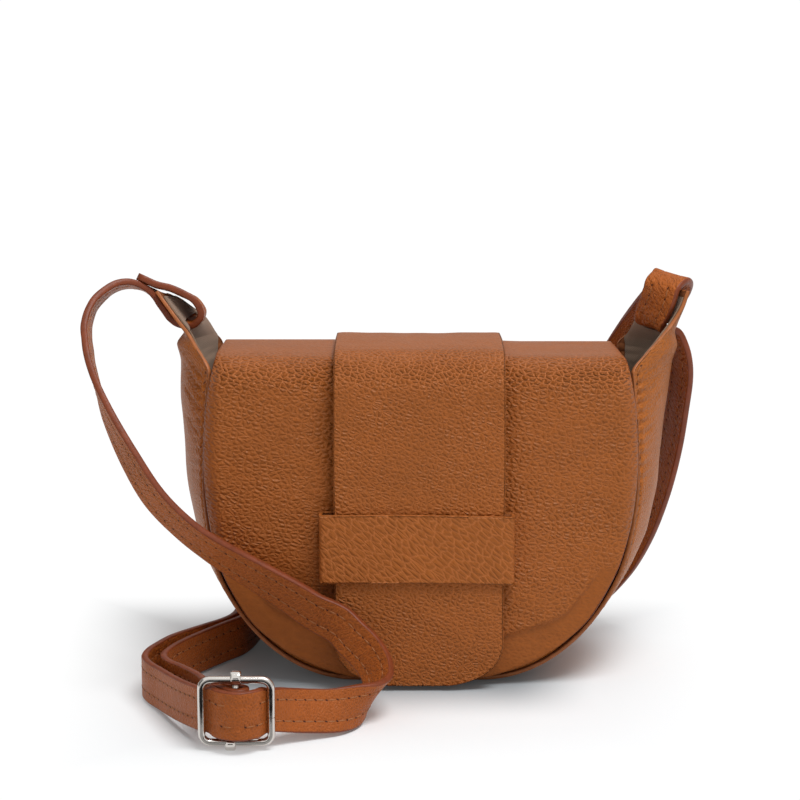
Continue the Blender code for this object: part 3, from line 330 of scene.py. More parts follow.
TAN = (0.316, 0.087, 0.015)
STRAP_TAN = (0.342, 0.083, 0.014)
FLAP_LEATHER = leather("flap_leather", TAN, 1.8, -0.20, 0.66, 0.50)
TAB_LEATHER = leather("tab_leather", TAN, 1.7, -0.35, 0.70, 0.46)
BAND_LEATHER = leather("band_leather", (0.322, 0.090, 0.015), 1.9, 0.75, 0.42, 0.32, 0.38, 0.5, 0.42)
BODY_LEATHER = leather("body_leather", (0.352, 0.098, 0.013), 1.5, 0.4, 0.9, 0.30)
BACK_LEATHER = leather("back_leather", TAN, 1.8, -0.3, 0.8, 0.38)
STRAP_FACE = leather("strap_face", STRAP_TAN, 1.3, 0.2, 0.9, 0.24, 0.38, 0.5, 0.12)
STRAP_BACK = leather("strap_back", (0.350, 0.086, 0.012), 1.5, 0.5, 0.6, 0.34, 0.45, 0.8, 0.25)
EDGE_PAINT = painted("edge_paint", (0.200, 0.042, 0.012))
SUEDE = painted("raw_back", (0.300, 0.100, 0.032), 0.85)
BODY_EDGE = painted("body_edge", (0.380, 0.120, 0.034))
LINING = woven("lining_cloth", (0.320, 0.212, 0.145))
LINING_BACK = woven("lining_back", (0.300, 0.200, 0.138))
LINING_EDGE = painted("lining_edge", (0.210, 0.135, 0.090), 0.9)
LINING_FINISH = [LINING_BACK, LINING_EDGE, LINING]
NICKEL = nickel("polished_nickel")
# The slider's wire and bar carry the painted dark reflection down their fronts.
PAINTED_REFLECTION_NICKEL = nickel("wire_nickel_painted_reflection", 0.75)
BOARD = fibre_board("fibre_board")
THREAD = sewing("thread", (0.400, 0.140, 0.040))
# Painted shade: the dark inside of the stitch holes, and of the gap at the slider wire's butt joint.
HOLE_SHADE = painted("stitch_hole_shade", (0.060, 0.016, 0.008), 0.8)


# Mesh helpers, in millimetres
def unit(a):
    return a / np.maximum(np.linalg.norm(a, axis=-1, keepdims=True), 1e-12)


def step(x, low, high):
    t = np.clip((x - low) / (high - low), 0.0, 1.0)
    return t * t * (3 - 2 * t)


def bell(x, middle, width):
    return np.exp(-(((x - middle) / width) ** 2))


def from_even(count, bend):
    """Shares from -1 to 1, closer together at both ends by this much."""
    even = np.linspace(-1, 1, count)
    return np.sin(even * math.pi / 2) * bend + even * (1 - bend)


def catmull(points, cuts):
    """The points with this many more on the smooth curve between each two."""
    rows = [Vector(point) for point in points]
    ends = [2 * rows[0] - rows[1]] + rows + [2 * rows[-1] - rows[-2]]
    found = []
    for i in range(len(rows) - 1):
        a, b, c, d = ends[i : i + 4]
        knots = [0.0]
        for start, end in ((a, b), (b, c), (c, d)):
            knots.append(knots[-1] + max((end - start).length, 3e-4) ** 0.5)
        found.append(b)
        for k in range(cuts):
            t = knots[1] + (k + 1) / (cuts + 1) * (knots[2] - knots[1])

            def mix(p, q, low, high):
                return p.lerp(q, (t - low) / (high - low))

            one = mix(a, b, knots[0], knots[1])
            two = mix(b, c, knots[1], knots[2])
            three = mix(c, d, knots[2], knots[3])
            left = mix(one, two, knots[0], knots[2])
            right = mix(two, three, knots[1], knots[3])
            found.append(mix(left, right, knots[1], knots[2]))
    return np.array([list(p) for p in found + [rows[-1]]])


def reach_along(line):
    """Distance from the start to each point of a line."""
    return np.concatenate([[0], np.cumsum(np.linalg.norm(np.diff(line, axis=0), axis=1))])


def made(name, points, faces, kinds, materials, uvs=None, grain=None, closed=True):
    """A mesh object in metres from points in millimetres; a closed one has its faces turned out."""
    mesh = bpy.data.meshes.new(name)
    spots = np.asarray(points, float) * MM
    mesh.from_pydata(spots.tolist(), [], [tuple(int(i) for i in f) for f in faces])
    for material in materials:
        mesh.materials.append(material)
    mesh.polygons.foreach_set("material_index", np.asarray(kinds, np.int32))
    mesh.polygons.foreach_set("use_smooth", np.ones(len(faces), bool))
    if uvs is not None:
        layer = mesh.uv_layers.new(name="skin")
        loops = np.empty(len(mesh.loops), np.int32)
        mesh.loops.foreach_get("vertex_index", loops)
        layer.data.foreach_set("uv", (np.asarray(uvs, float)[loops] * MM).astype(np.float32).ravel())
    depth = np.ones(len(spots)) if grain is None else np.asarray(grain, float)
    mesh.attributes.new("grain", "FLOAT", "POINT").data.foreach_set("value", depth.astype(np.float32))
    if closed:
        shape = bmesh.new()
        shape.from_mesh(mesh)
        bmesh.ops.recalc_face_normals(shape, faces=shape.faces)
        if shape.calc_volume(signed=True) < 0:
            bmesh.ops.reverse_faces(shape, faces=shape.faces)
        shape.to_mesh(mesh)
        shape.free()
    return in_scene(name, mesh)


def ring_faces(rings, sides, closed=False):
    """Faces round a row of rings; an open row has both its ends capped, the last two faces."""
    faces = []
    for i in range(rings if closed else rings - 1):
        low, high = i * sides, (i + 1) % rings * sides
        for k in range(sides):
            n = (k + 1) % sides
            faces.append((low + k, low + n, high + n, high + k))
    if not closed:
        faces.append(tuple(range(sides))[::-1])
        faces.append(tuple(range((rings - 1) * sides, rings * sides)))
    return faces


def normals_of(grid, away):
    """Unit normals of a grid of points, turned to the side of away(points)."""
    found = unit(np.cross(np.gradient(grid, axis=1), np.gradient(grid, axis=0)))
    side = np.sign((found * away(grid)).sum(-1))
    return found if np.sum(side) >= 0 else -found


def shell(name, grid, normals, thickness, materials, uv, rim=0.7, squareness=0.6, steps=6, grain=None):
    """A sheet with rounded cut edges: grid is its outer side, materials are outer, edge and inner."""
    rows, columns = grid.shape[:2]
    around = [(0, j) for j in range(columns)] + [(i, columns - 1) for i in range(1, rows)]
    around += [(rows - 1, j) for j in range(columns - 2, -1, -1)] + [(i, 0) for i in range(rows - 2, 0, -1)]
    at = tuple(np.array(around).T)
    border, upward, ring_uv = grid[at], normals[at], uv[at]
    tangent = unit(np.roll(border, -1, 0) - np.roll(border, 1, 0))
    out = unit(np.cross(tangent, upward))
    within = grid[np.clip(at[0], 1, rows - 2), np.clip(at[1], 1, columns - 2)]
    out *= np.sign(((border - within) * out).sum(-1, keepdims=True) + 1e-9)
    thick = np.broadcast_to(np.asarray(thickness, float), (rows, columns))[..., None]
    outer, inner = grid.copy(), grid - normals * thick
    spots = border - out * rim
    outer[at] = spots
    inner[at] = spots - upward * thick[at]
    points = [outer.reshape(-1, 3), inner.reshape(-1, 3)]
    flat = [uv.reshape(-1, 2), uv.reshape(-1, 2)]
    for s in range(1, steps):
        turn = math.pi * s / steps
        bulge = math.sin(turn) ** squareness
        drop = (1 - math.copysign(abs(math.cos(turn)) ** squareness, math.cos(turn))) / 2
        points.append(spots + out * rim * bulge - upward * thick[at] * drop)
        flat.append(ring_uv + 0.3 * s)
    count = rows * columns
    index = np.arange(count).reshape(rows, columns)
    corners = (index[:-1, :-1], index[:-1, 1:], index[1:, 1:], index[1:, :-1])
    top = np.stack([corner.ravel() for corner in corners], 1)
    faces = list(top) + list(top[:, ::-1] + count)
    loops = [index[at]] + [2 * count + s * len(around) + np.arange(len(around)) for s in range(steps - 1)]
    loops.append(index[at] + count)
    for low, high in zip(loops, loops[1:]):
        faces += list(np.stack([low, np.roll(low, -1), np.roll(high, -1), high], 1))
    kinds = [0] * len(top) + [2] * len(top) + [1] * (steps * len(around))
    if grain is not None:
        grain = np.concatenate([grain.ravel(), grain.ravel()] + [grain[at]] * (steps - 1))
    return made(name, np.concatenate(points), faces, kinds, materials, np.concatenate(flat), grain)


STITCH_SIDES = 6
STITCH_SHARES = ((-0.5, 0.15), (-0.42, 0.75), (0.0, 1.0), (0.42, 0.75), (0.5, 0.15))
HOLE_SIDES = 10
HOLE_LONG = 0.62
HOLE_WIDE = 0.30


def stitches(name, places, length, radius, hole_lift=0.03):
    """Short threads, each with a hole at its end drawn as a flat dark mark, painted shade for the hole's
    inside: places holds (point, direction, outward).
    """
    thread = [face[::-1] for face in ring_faces(len(STITCH_SHARES), STITCH_SIDES)]
    points, faces, kinds = [], [], []
    for spot, along, up in places:
        along = unit(np.asarray(along, float))
        up = unit(np.asarray(up, float) - along * float(np.dot(up, along)))
        side = np.cross(along, up)
        start = len(points)
        for share, size in STITCH_SHARES:
            middle = spot + along * length * share - up * 0.5 * radius * (abs(share) * 2) ** 3
            for k in range(STITCH_SIDES):
                turn = 2 * math.pi * k / STITCH_SIDES
                points.append(middle + (side * math.cos(turn) + up * math.sin(turn)) * radius * size)
        faces += [tuple(start + k for k in face) for face in thread]
        start = len(points)
        centre = spot + along * length * 0.64 + up * hole_lift
        lean = unit(along + side * 0.55)
        beside = np.cross(lean, up)
        for k in range(HOLE_SIDES):
            turn = 2 * math.pi * k / HOLE_SIDES
            points.append(centre + lean * HOLE_LONG * math.cos(turn) + beside * HOLE_WIDE * math.sin(turn))
        faces.append(tuple(range(start, start + HOLE_SIDES))[::-1])
        kinds += [0] * len(thread) + [1]
    return made(name, points, faces, kinds, [THREAD, HOLE_SHADE], closed=False)


def along_line(line, up, pitch):
    """Evenly spaced (point, direction, outward) along a line of points."""
    line, up = np.asarray(line, float), np.asarray(up, float)
    reach = reach_along(line)
    found = []
    spot = pitch / 2
    while spot < reach[-1] - pitch / 2:
        k = min(max(int(np.searchsorted(reach, spot)) - 1, 0), len(line) - 2)
        share = (spot - reach[k]) / max(reach[k + 1] - reach[k], 1e-9)
        at, out = [row[k] * (1 - share) + row[k + 1] * share for row in (line, up)]
        found.append((at, line[k + 1] - line[k], out))
        spot += pitch
    return found


def rough_field(points, size, seed):
    """Smooth unevenness from -1 to 1 at each point."""
    flat = points.reshape(-1, 3) / size + seed
    return np.array([noise.noise(Vector(p)) for p in flat]).reshape(points.shape[:-1])


# Strap, in millimetres
HALF_WIDTH = 8.75
HALF_THICK = 1.40
ROUTE_CUTS = 6
SLIDER = (-71.3, -116.0, 15.6)
SPREAD_REACH = 13.0
SPREAD_FRONT = -100.0
SPREAD = 0.13
STITCH_ROW_SHARE = 0.48
STITCH_PITCH = 4.8
GROOVE_DEPTH = 0.20
EDGE_SHARE = 0.93
END_CORNER = 3.0
END_NARROWING_SHARE = 0.34
STITCH_LONG = 3.7
STITCH_RADIUS = 0.34
STITCH_SUNK = 0.16
STRAIGHT_ENOUGH = 0.96


def strap_frames():
    """Points along the strap's middle, its unit direction across and the way its face looks."""
    turns = list(STRAP_TURNS) + [(0, 0, -1)] * 24 + list(RIGHT_TURNS)
    turns += [(0, 0, -1)] * (len(STRAP_ROUTE) - len(turns))
    middle = catmull(STRAP_ROUTE, ROUTE_CUTS) / MM
    width = catmull(turns, ROUTE_CUTS)
    along = unit(np.gradient(middle, axis=0))
    width = unit(width - along * (width * along).sum(-1, keepdims=True))
    return middle, width, np.cross(along, width)


def strap_section():
    """(share of the half width, share of the half thickness, material) around the strap."""
    right = (0.2, 0.42, 0.48, 0.54, 0.60, 0.70, 0.84, EDGE_SHARE)
    half = [(v, 1.0, 0) for v in (*(-v for v in reversed(right)), 0.0, *right)]
    for k in range(1, 6):
        turn = math.pi / 2 - math.pi * k / 6
        out = EDGE_SHARE + (1 - EDGE_SHARE) * math.cos(turn) ** 0.8
        half.append((out, math.copysign(abs(math.sin(turn)) ** 0.8, math.sin(turn)), 1))
    return half + [(-v, -t, 1 if kind else 2) for v, t, kind in half]


def make_strap():
    middle, width, flat = strap_frames()
    v, t, kind = [np.array(part) for part in zip(*strap_section())]
    reach = reach_along(middle)
    n, m = len(middle), len(v)
    end = np.minimum(np.minimum(reach, reach[-1] - reach) / END_CORNER, 1.0)
    taper = 1 - END_NARROWING_SHARE * (1 - np.sqrt(np.clip(1 - (1 - end) ** 2, 0, None)))
    groove = np.where(kind == 1, 0.0, GROOVE_DEPTH * bell(np.abs(v), STITCH_ROW_SHARE, 0.05))
    across = (v * HALF_WIDTH)[None, :] * taper[:, None]
    points = middle[:, None] + width[:, None] * across[..., None]
    points = points + flat[:, None] * (t * (HALF_THICK - groove))[None, :, None]
    uvs = np.zeros((n, m, 2))
    uvs[..., 0] = v * HALF_WIDTH + np.where(kind == 2, 40, 0)
    uvs[..., 1] = reach[:, None]
    kinds = list(np.where(kind == np.roll(kind, -1), kind, 1)) * (n - 1) + [1, 1]
    near = step(SPREAD_REACH - np.abs(points[..., 0] - SLIDER[0]), 0.0, 4.0) * (points[..., 1] < SPREAD_FRONT)
    points[..., 2] += (points[..., 2] - SLIDER[2]) * SPREAD * near
    finish = [STRAP_FACE, EDGE_PAINT, STRAP_BACK]
    points, uvs = points.reshape(-1, 3), uvs.reshape(-1, 2)
    strap = made("strap_leather_piece", points, ring_faces(n, m), kinds, finish, uvs)
    places = []
    for side in (-1, 1):
        for face in (-1, 1):
            line = middle + width * side * STITCH_ROW_SHARE * HALF_WIDTH
            line = line + flat * face * (HALF_THICK - STITCH_SUNK)
            places += along_line(line[3:-3], (flat * face)[3:-3], STITCH_PITCH)
    ahead = np.roll(middle, -3, 0) - middle
    behind = middle - np.roll(middle, 3, 0)
    size = np.linalg.norm(ahead, axis=1) * np.linalg.norm(behind, axis=1)
    straight = np.sum(ahead * behind, axis=1) / size > STRAIGHT_ENOUGH
    places = [p for p in places if straight[np.argmin(np.sum((middle - p[0]) ** 2, axis=1))]]
    sewn = stitches("strap_stitches", places, STITCH_LONG, STITCH_RADIUS, 0.15)
    return strap, sewn, middle, reach[-1]


STRAP, STRAP_SEWING, STRAP_MIDDLE, STRAP_LENGTH = make_strap()
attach(STRAP, "root")
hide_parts("shoulder_strap")
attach(STRAP_SEWING, "root")


# Slider
LOOP_HALF_WIDE = 13.5
LOOP_HALF_HIGH = 12.7
LOOP_CORNER = 3.6
WIRE_RADIUS = 1.52
BAR_HALF = 10.8
BAR_RADIUS = 1.2
WRAP_SHIFT = 2.4
WRAP_HALF = 2.0
WRAP_AT = 12.8
JOINT_RADIUS = 1.48
JOINT_DROP = 2.4


def wire(name, points, radius, closed, material=PAINTED_REFLECTION_NICKEL, sides=16):
    """A round wire along a line of points in millimetres, of one radius or one for each point."""
    points = np.asarray(points, float)
    radii = np.broadcast_to(radius, len(points))
    if closed:
        along = unit(np.roll(points, -1, 0) - np.roll(points, 1, 0))
    else:
        along = unit(np.gradient(points, axis=0))
    up = np.array([0.0, 1.0, 0.0]) if abs(along[0][1]) < 0.9 else np.array([1.0, 0.0, 0.0])
    rings = []
    for i in range(len(points)):
        side = unit(np.cross(along[i], up))
        up = unit(np.cross(side, along[i]))
        for k in range(sides):
            turn = 2 * math.pi * k / sides
            rings.append(points[i] + radii[i] * (side * math.cos(turn) + up * math.sin(turn)))
    faces = ring_faces(len(points), sides, closed)
    return made(name, rings, faces, [0] * len(faces), [material])


def round_loop(left, right, low, high, radius, steps=10):
    found = []
    for x, z, quarter in (
        (right - radius, high - radius, 0),
        (left + radius, high - radius, 1),
        (left + radius, low + radius, 2),
        (right - radius, low + radius, 3),
    ):
        for i in range(steps + 1):
            turn = math.pi / 2 * (quarter + i / steps)
            found.append((x + radius * math.cos(turn), z + radius * math.sin(turn)))
    return found


def make_slider():
    """The wire loop, its bar, the joint in the loop and the bar's two ends wrapped round it."""
    x, y, z = SLIDER
    sides = (x - LOOP_HALF_WIDE, x + LOOP_HALF_WIDE, z - LOOP_HALF_HIGH, z + LOOP_HALF_HIGH)
    loop = wire("slider_wire", [(a, y, b) for a, b in round_loop(*sides, LOOP_CORNER)], WIRE_RADIUS, True)
    shares = np.linspace(0, 1, 13)
    line = [(x - WRAP_SHIFT * (1 - share), y, z - BAR_HALF + 2 * BAR_HALF * share) for share in shares]
    bar = wire("slider_centre_bar", line, BAR_RADIUS, False)
    wraps = []
    for name, side, shift, size, drop in (("low", -1, WRAP_SHIFT, 2.7, 0.5), ("high", 1, 0.0, 2.9, 0.6)):
        places = np.linspace(-WRAP_HALF, WRAP_HALF, 13)
        line = [(x - shift + a, y, z + side * (WRAP_AT + drop)) for a in places]
        radii = size - 0.45 * (np.abs(places) / WRAP_HALF) ** 6
        wraps.append(wire("slider_wrap_" + name, line, radii, False, NICKEL, 24))
    line = []
    for k in range(24):
        turn = 2 * math.pi * k / 24
        out, back = JOINT_RADIUS * math.cos(turn), JOINT_RADIUS * math.sin(turn)
        line.append((x + LOOP_HALF_WIDE + out, y + back, z - JOINT_DROP))
    # The butt joint is a thin ring in the hole colour, painted shade for the gap where the wire's ends meet.
    joint = wire("slider_butt_joint", line, 0.10, True, HOLE_SHADE)
    return [loop, bar, joint] + wraps


SLIDER_PIECES = make_slider()
for piece in SLIDER_PIECES:
    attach(piece, "root")
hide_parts("slider_frame")
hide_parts("slider_bar")
[tuple(p * MM) for p in STRAP_MIDDLE[::ROUTE_CUTS + 1]]

# Body outline
LEATHER_THICK = 1.6
LINING_THICK = 0.8
HALF_DEPTH = 31.0
FOOT_HALF = 26.0
CURVE_WIDE = 65.2
CURVE_HIGH = 85.0
SIDE_HIGH = 46.5
BODY_HALF = FOOT_HALF + CURVE_WIDE
RIM = CURVE_HIGH + SIDE_HIGH
RIM_HALF = BODY_HALF - 3.0
EAR_CUTS = 14
# How far the right (True) and left sides swell out, and how much more at the rim
SWELLS = {True: (7.5, 11.5), False: (5.5, 8.5)}
# Front edge, rear edge, swell and its skew towards the front, up each ear
EARS = {
    False: (
        ((90.6, -25.3, 139.3), (88.2, 26.2, 137.2), 11.0, 0.3),
        ((96.1, -18.2, 145.1), (92.6, 19.0, 144.6), 2.4, 0.6),
        ((99.3, -14.8, 148.2), (95.8, 14.2, 148.4), 1.8, 0.6),
        ((104.6, -12.0, 154.8), (100.2, 5.2, 154.2), 1.4, 0.5),
        ((109.2, -9.2, 160.8), (106.4, -3.6, 159.2), 0.6, 0.4),
    ),
    True: (
        ((93.6, -24.3, 138.5), (89.9, 26.6, 136.5), 15.0, 0.3),
        ((101.1, -17.0, 144.5), (93.4, 19.3, 143.5), 7.0, 0.6),
        ((104.8, -14.0, 148.0), (96.3, 13.8, 149.5), 5.0, 0.6),
        ((109.6, -11.3, 155.0), (96.7, 8.5, 156.0), 3.5, 0.5),
        ((111.9, -10.0, 161.2), (97.5, 5.0, 161.0), 2.0, 0.4),
    ),
}


def side_at(share):
    """x and z at a share of the way up the body's side, which draws in a little towards the rim."""
    return BODY_HALF - (BODY_HALF - RIM_HALF) * share**1.5, CURVE_HIGH + SIDE_HIGH * share


def outline(floor, curve, side):
    """Half of the body outline from the floor's middle to the rim: x, z and outward direction."""
    found = [(FOOT_HALF * i / floor, 0.0, (0.0, -1.0)) for i in range(floor)]
    for i in range(curve):
        turn = math.pi / 2 * i / curve
        away = unit(np.array([math.sin(turn) / CURVE_WIDE, -math.cos(turn) / CURVE_HIGH]))
        x, z = FOOT_HALF + CURVE_WIDE * math.sin(turn), CURVE_HIGH * (1 - math.cos(turn))
        found.append((x, z, tuple(away)))
    return found + [(*side_at(i / side), (1.0, 0.0)) for i in range(side + 1)]


def rear_tuck(right, z):
    """How far the rear seam is drawn in below the flap's rear corners."""
    return (2.0 if right else 3.4) * step(z, 112.0, RIM)


def front_tuck(right, z):
    """How far the front seam is drawn in behind the flap's edge."""
    return (0.9 if right else 2.3) * step(z, 42.0, 72.0)


def side_table(right, ears):
    """(front edge, rear edge, bulge, skew) arrays of one side's stations."""
    base, rim = SWELLS[right]

    def seams(x, z):
        return (x - front_tuck(right, z), -HALF_DEPTH, z), (x - rear_tuck(right, z), HALF_DEPTH, z)

    front, rear, bulge, skew = [], [], [], []
    for x, z, away in outline(10, 60, 70):
        swell = base * min(1.0, z / 60.0) + rim * (z / RIM) ** 3
        for part, place in zip((front, rear), seams(x, z)):
            part.append(place)
        bulge.append((away[0] * swell, 0.0, away[1] * swell))
        skew.append(0.0)
    if ears:
        table = EARS[right]
        x, z = side_at(0.8)
        before = seams(x, z)
        fronts = catmull([before[0], front[-1]] + [row[0] for row in table], EAR_CUTS)
        rears = catmull([before[1], rear[-1]] + [row[1] for row in table], EAR_CUTS)
        lower = [(base + rim * (z / RIM) ** 3, 0.0, 0.0), (base + rim, 0.0, 1.0)]
        swells = catmull(lower + [(row[2], row[3], k + 2.0) for k, row in enumerate(table)], EAR_CUTS)
        for i in range(EAR_CUTS + 2, len(fronts)):
            front.append(fronts[i])
            rear.append(rears[i])
            bulge.append((swells[i][0], 0.0, 0.0))
            skew.append(swells[i][1])
    return [np.array(part, float) for part in (front, rear, bulge, skew)]


def strip_table(ears):
    """The stations from the left side's top under the bag to the right side's top."""
    flip = np.array([-1.0, 1.0, 1.0])
    parts = []
    for right, left in zip(side_table(True, ears), side_table(False, ears)):
        mirror = left * flip if left.ndim == 2 else left
        parts.append(np.concatenate([mirror[:0:-1], right]))
    return parts


def strip_grid(table, shares):
    """Grid of the gusset; shares across it run from -1 at the front seam to 1 at the rear one."""
    front, rear, bulge, skew = table
    v = np.asarray(shares, float)[..., None]
    swell = (1 - v * v) * (1 - skew[:, None, None] * v)
    return front[:, None] * (1 - v) / 2 + rear[:, None] * (1 + v) / 2 + bulge[:, None] * swell


def from_middle(grid):
    return grid - np.array([0.0, 0.0, 80.0])


def strip_uv(grid, shares):
    """Flat coordinates of the gusset: along the strip and across it."""
    flat = np.zeros(grid.shape[:2] + (2,))
    flat[..., 0] = reach_along(grid[:, grid.shape[1] // 2])[:, None]
    flat[..., 1] = shares * HALF_DEPTH
    return flat


SLOT_SIZE = (18.8, 12.0, 4.6)
SLOTS = (((-96.3, 2.0, 146.3), (0.16, 0.987)), ((100.8, 3.8, 144.0), (-0.507, 0.862)))


def cut_slots(obj):
    """The two strap slots through the ears."""
    shape = bmesh.new()
    for spot, turn in SLOTS:
        size = Matrix.Diagonal((*(length * MM for length in SLOT_SIZE), 1))
        where = Matrix.Translation(Vector(spot) * MM) @ Matrix.Rotation(math.atan2(turn[1], turn[0]), 4, "Z")
        bmesh.ops.create_cube(shape, size=1.0, matrix=where @ size)
    mesh = bpy.data.meshes.new("slots")
    shape.to_mesh(mesh)
    shape.free()
    cutter = in_scene("slots", mesh)
    tool = obj.modifiers.new("slots", "BOOLEAN")
    tool.solver = "MANIFOLD"
    tool.object = cutter
    bpy.context.view_layer.update()
    whole = bpy.data.meshes.new_from_object(obj.evaluated_get(bpy.context.evaluated_depsgraph_get()))
    obj.modifiers.clear()
    old = obj.data
    obj.data = whole
    bpy.data.meshes.remove(old)
    bpy.data.objects.remove(cutter)
    return obj


PUCKER_PITCH = 4.6
# Slope, place below the rim and size of each crease
CREASES = (
    (0.9, -4.0, 0.9), (0.75, 1.0, 1.0), (1.0, 5.5, 0.9), (0.6, 9.5, 0.9),
    (1.15, 15.0, 0.8), (0.5, 20.0, 0.7), (0.9, 27.0, 0.5),
)


def gusset_relief(grid, uv, shares):
    """How far the gusset's surface stands out of the smooth form, in millimetres."""
    v = shares[None, :]
    from_front, from_rear = (1 + v) * HALF_DEPTH, (1 - v) * HALF_DEPTH
    reach = uv[..., 0]
    x, z = grid[..., 0], grid[..., 2]
    total = np.zeros(grid.shape[:2])
    upper = step(z, 55.0, 85.0)
    sewn = 1 - step(z, 126.0, 134.0)
    for distance in (from_front, from_rear):
        total = total - (0.40 + 0.45 * upper) * bell(distance, 1.9, 0.7) * sewn
        wave = reach * 2 * math.pi / PUCKER_PITCH + 1.5 * np.sin(reach / 11.0) - distance * 0.22
        fan = np.exp(-np.maximum(distance - 2.0, 0) / 4.5) * step(distance, 0.4, 1.6)
        total = total + (0.20 + 0.30 * upper) * np.sin(wave) * fan * sewn
    side = ((x < 0) + 0.35 * (x > 0)) * (np.abs(x) > 70)
    reachable = bell(from_front, 8.0, 9.0) * step(from_front, 1.5, 4.0)
    for slope, place, size in CREASES:
        line = (z - 124.0 + place) - slope * (from_front - 3.0) * 0.9 + 1.2 * rough_field(grid, 9.0, place)
        total = total + size * (0.5 * bell(line, 1.2, 0.8) - bell(line, 0.0, 0.9)) * reachable * side
    high = step(z, 60.0, 100.0) * (1 - step(z, 132.0, 150.0))
    uneven = 0.8 * rough_field(grid, 38.0, 3.1) * (0.4 + high) + 0.30 * rough_field(grid, 12.0, 9.7)
    total = total + uneven * np.clip(1 - v * v, 0, 1)
    return total * np.minimum(1.0, np.minimum(from_front, from_rear) / 1.5)


def make_gusset():
    by_seam = -1 + np.array([0, 0.4, 0.9, 1.4, 1.9, 2.4, 2.9, 3.4, 4.0, 4.7, 5.6, 6.8, 8.4]) / HALF_DEPTH
    shares = np.concatenate([by_seam, np.linspace(-0.68, 0.68, 30), -by_seam[::-1]])
    grid = strip_grid(strip_table(True), shares)
    uv = strip_uv(grid, shares)
    relief = gusset_relief(grid, uv, shares) * step(grid[..., 2], 0.0, 3.0)
    grid = grid + normals_of(grid, from_middle) * relief[..., None]
    up = normals_of(grid, from_middle)
    finish = [BODY_LEATHER, BODY_EDGE, SUEDE]
    piece = shell("gusset_leather", grid, up, LEATHER_THICK, finish, uv, 0.55, 0.55)
    places = []
    keep = slice(5 * EAR_CUTS, -5 * EAR_CUTS)
    for column in (4, len(shares) - 5):
        places += along_line(grid[keep, column] + up[keep, column] * 0.05, up[keep, column], 4.3)
    sewn = stitches("gusset_stitches", places, 2.7, 0.28)
    return cut_slots(piece), sewn


LINING_INSET = 3.8
EAR_LINING_INSET = 1.62


def make_gusset_lining():
    table = [part[EAR_CUTS // 2 : -(EAR_CUTS // 2)] for part in strip_table(True)]
    count = len(table[0])
    ears = (count - len(strip_table(False)[0])) / 2
    shares = np.linspace(-1, 1, 25)
    up = normals_of(strip_grid(table, shares), from_middle)
    past = np.maximum(ears - np.arange(count), np.arange(count) - (count - 1 - ears)) / (EAR_CUTS + 1.0)
    lift = step(past, 0.0, 1.0)[:, None]
    close = step(past + 1.2, 0.0, 1.2)[:, None]
    grid = strip_grid(table, shares * (0.90 + lift * 0.090))
    inset = LINING_INSET + close * (EAR_LINING_INSET - LINING_INSET)
    follow = gusset_relief(grid, strip_uv(grid, shares), shares) * close
    grid = grid + up * (follow - inset)[..., None]
    uv = strip_uv(grid, shares)
    crumple = 0.25 * rough_field(grid, 9.0, 5.5) + 0.4 * rough_field(grid, 24.0, 8.2)
    calm = np.clip(1 - np.abs(shares) ** 6, 0, 1)
    grid = grid - up * ((0.5 + crumple) * calm * 0.6 * (1 - lift))[..., None]
    up = normals_of(grid, from_middle)
    return cut_slots(shell("gusset_lining_cloth", grid, up, LINING_THICK, LINING_FINISH, uv, 0.3, 0.8, 4))


# Panels and their linings
PANEL_INSET = 1.9
PANEL_FACE = 30.4
PANEL_LINING_INSET = 5.2
PANEL_LINING_FACE = 26.8
PANEL_LINING_TOP = 128.6


def panel_sheet(inset, top, side, columns=61):
    """x, z and distance from the sewn edge over a panel, drawn in like the gusset's front or rear seam."""
    half = np.array([(x - away[0] * inset, z - away[1] * inset) for x, z, away in outline(10, 60, 24)])
    half = half[half[:, 0] >= 24.0]
    half[-1, 1] = top
    across = from_even(columns, 0.5)
    x, z = half[:, :1] * across, np.repeat(half[:, 1:], columns, 1)
    if side < 0:
        x = x * (1 - np.where(x > 0, front_tuck(True, z), front_tuck(False, z)) / BODY_HALF)
    if side > 0:
        x = x * (1 - np.where(x > 0, rear_tuck(True, z), rear_tuck(False, z)) / RIM_HALF)
    return x, z, np.minimum((1 - np.abs(across)) * np.abs(x[:, -1:]), z - z.min())


def upright_sheet(name, x, y, z, toward, thickness, finish, rim, squareness):
    """A panel or its lining, its outer side looking to the front (-1) or the back (1)."""
    grid = np.stack([x, y, z], -1)
    up = normals_of(grid, lambda g: np.array([0.0, toward, 0.0]))
    return shell(name, grid, up, thickness, finish, np.stack([x, z], -1), rim, squareness, 4)


def make_panel(name, side, top, material, swell):
    x, z, edge = panel_sheet(PANEL_INSET, top, side)
    uneven = rough_field(np.stack([x, z * 0 + side * 9, z], -1), 30.0, 2.2)
    puff = swell * step(edge, 0.0, 22.0) + 0.5 * uneven * step(edge, 2.0, 12.0)
    y = side * (PANEL_FACE + puff - 1.1 * np.clip(1 - edge / 1.4, 0, 1) ** 2)
    return upright_sheet(name, x, y, z, side, LEATHER_THICK, [material, BODY_EDGE, SUEDE], 0.4, 0.7)


def make_panel_lining(name, side):
    x, z, edge = panel_sheet(PANEL_LINING_INSET, PANEL_LINING_TOP, max(side, 0), 41)
    uneven = rough_field(np.stack([x, z * 0 + side * 5, z], -1), 14.0, 7.7)
    y = side * (PANEL_LINING_FACE + 0.175 * uneven * step(edge, 1.0, 9.0))
    return upright_sheet(name, x, y, z, -side, LINING_THICK, LINING_FINISH, 0.3, 0.8)


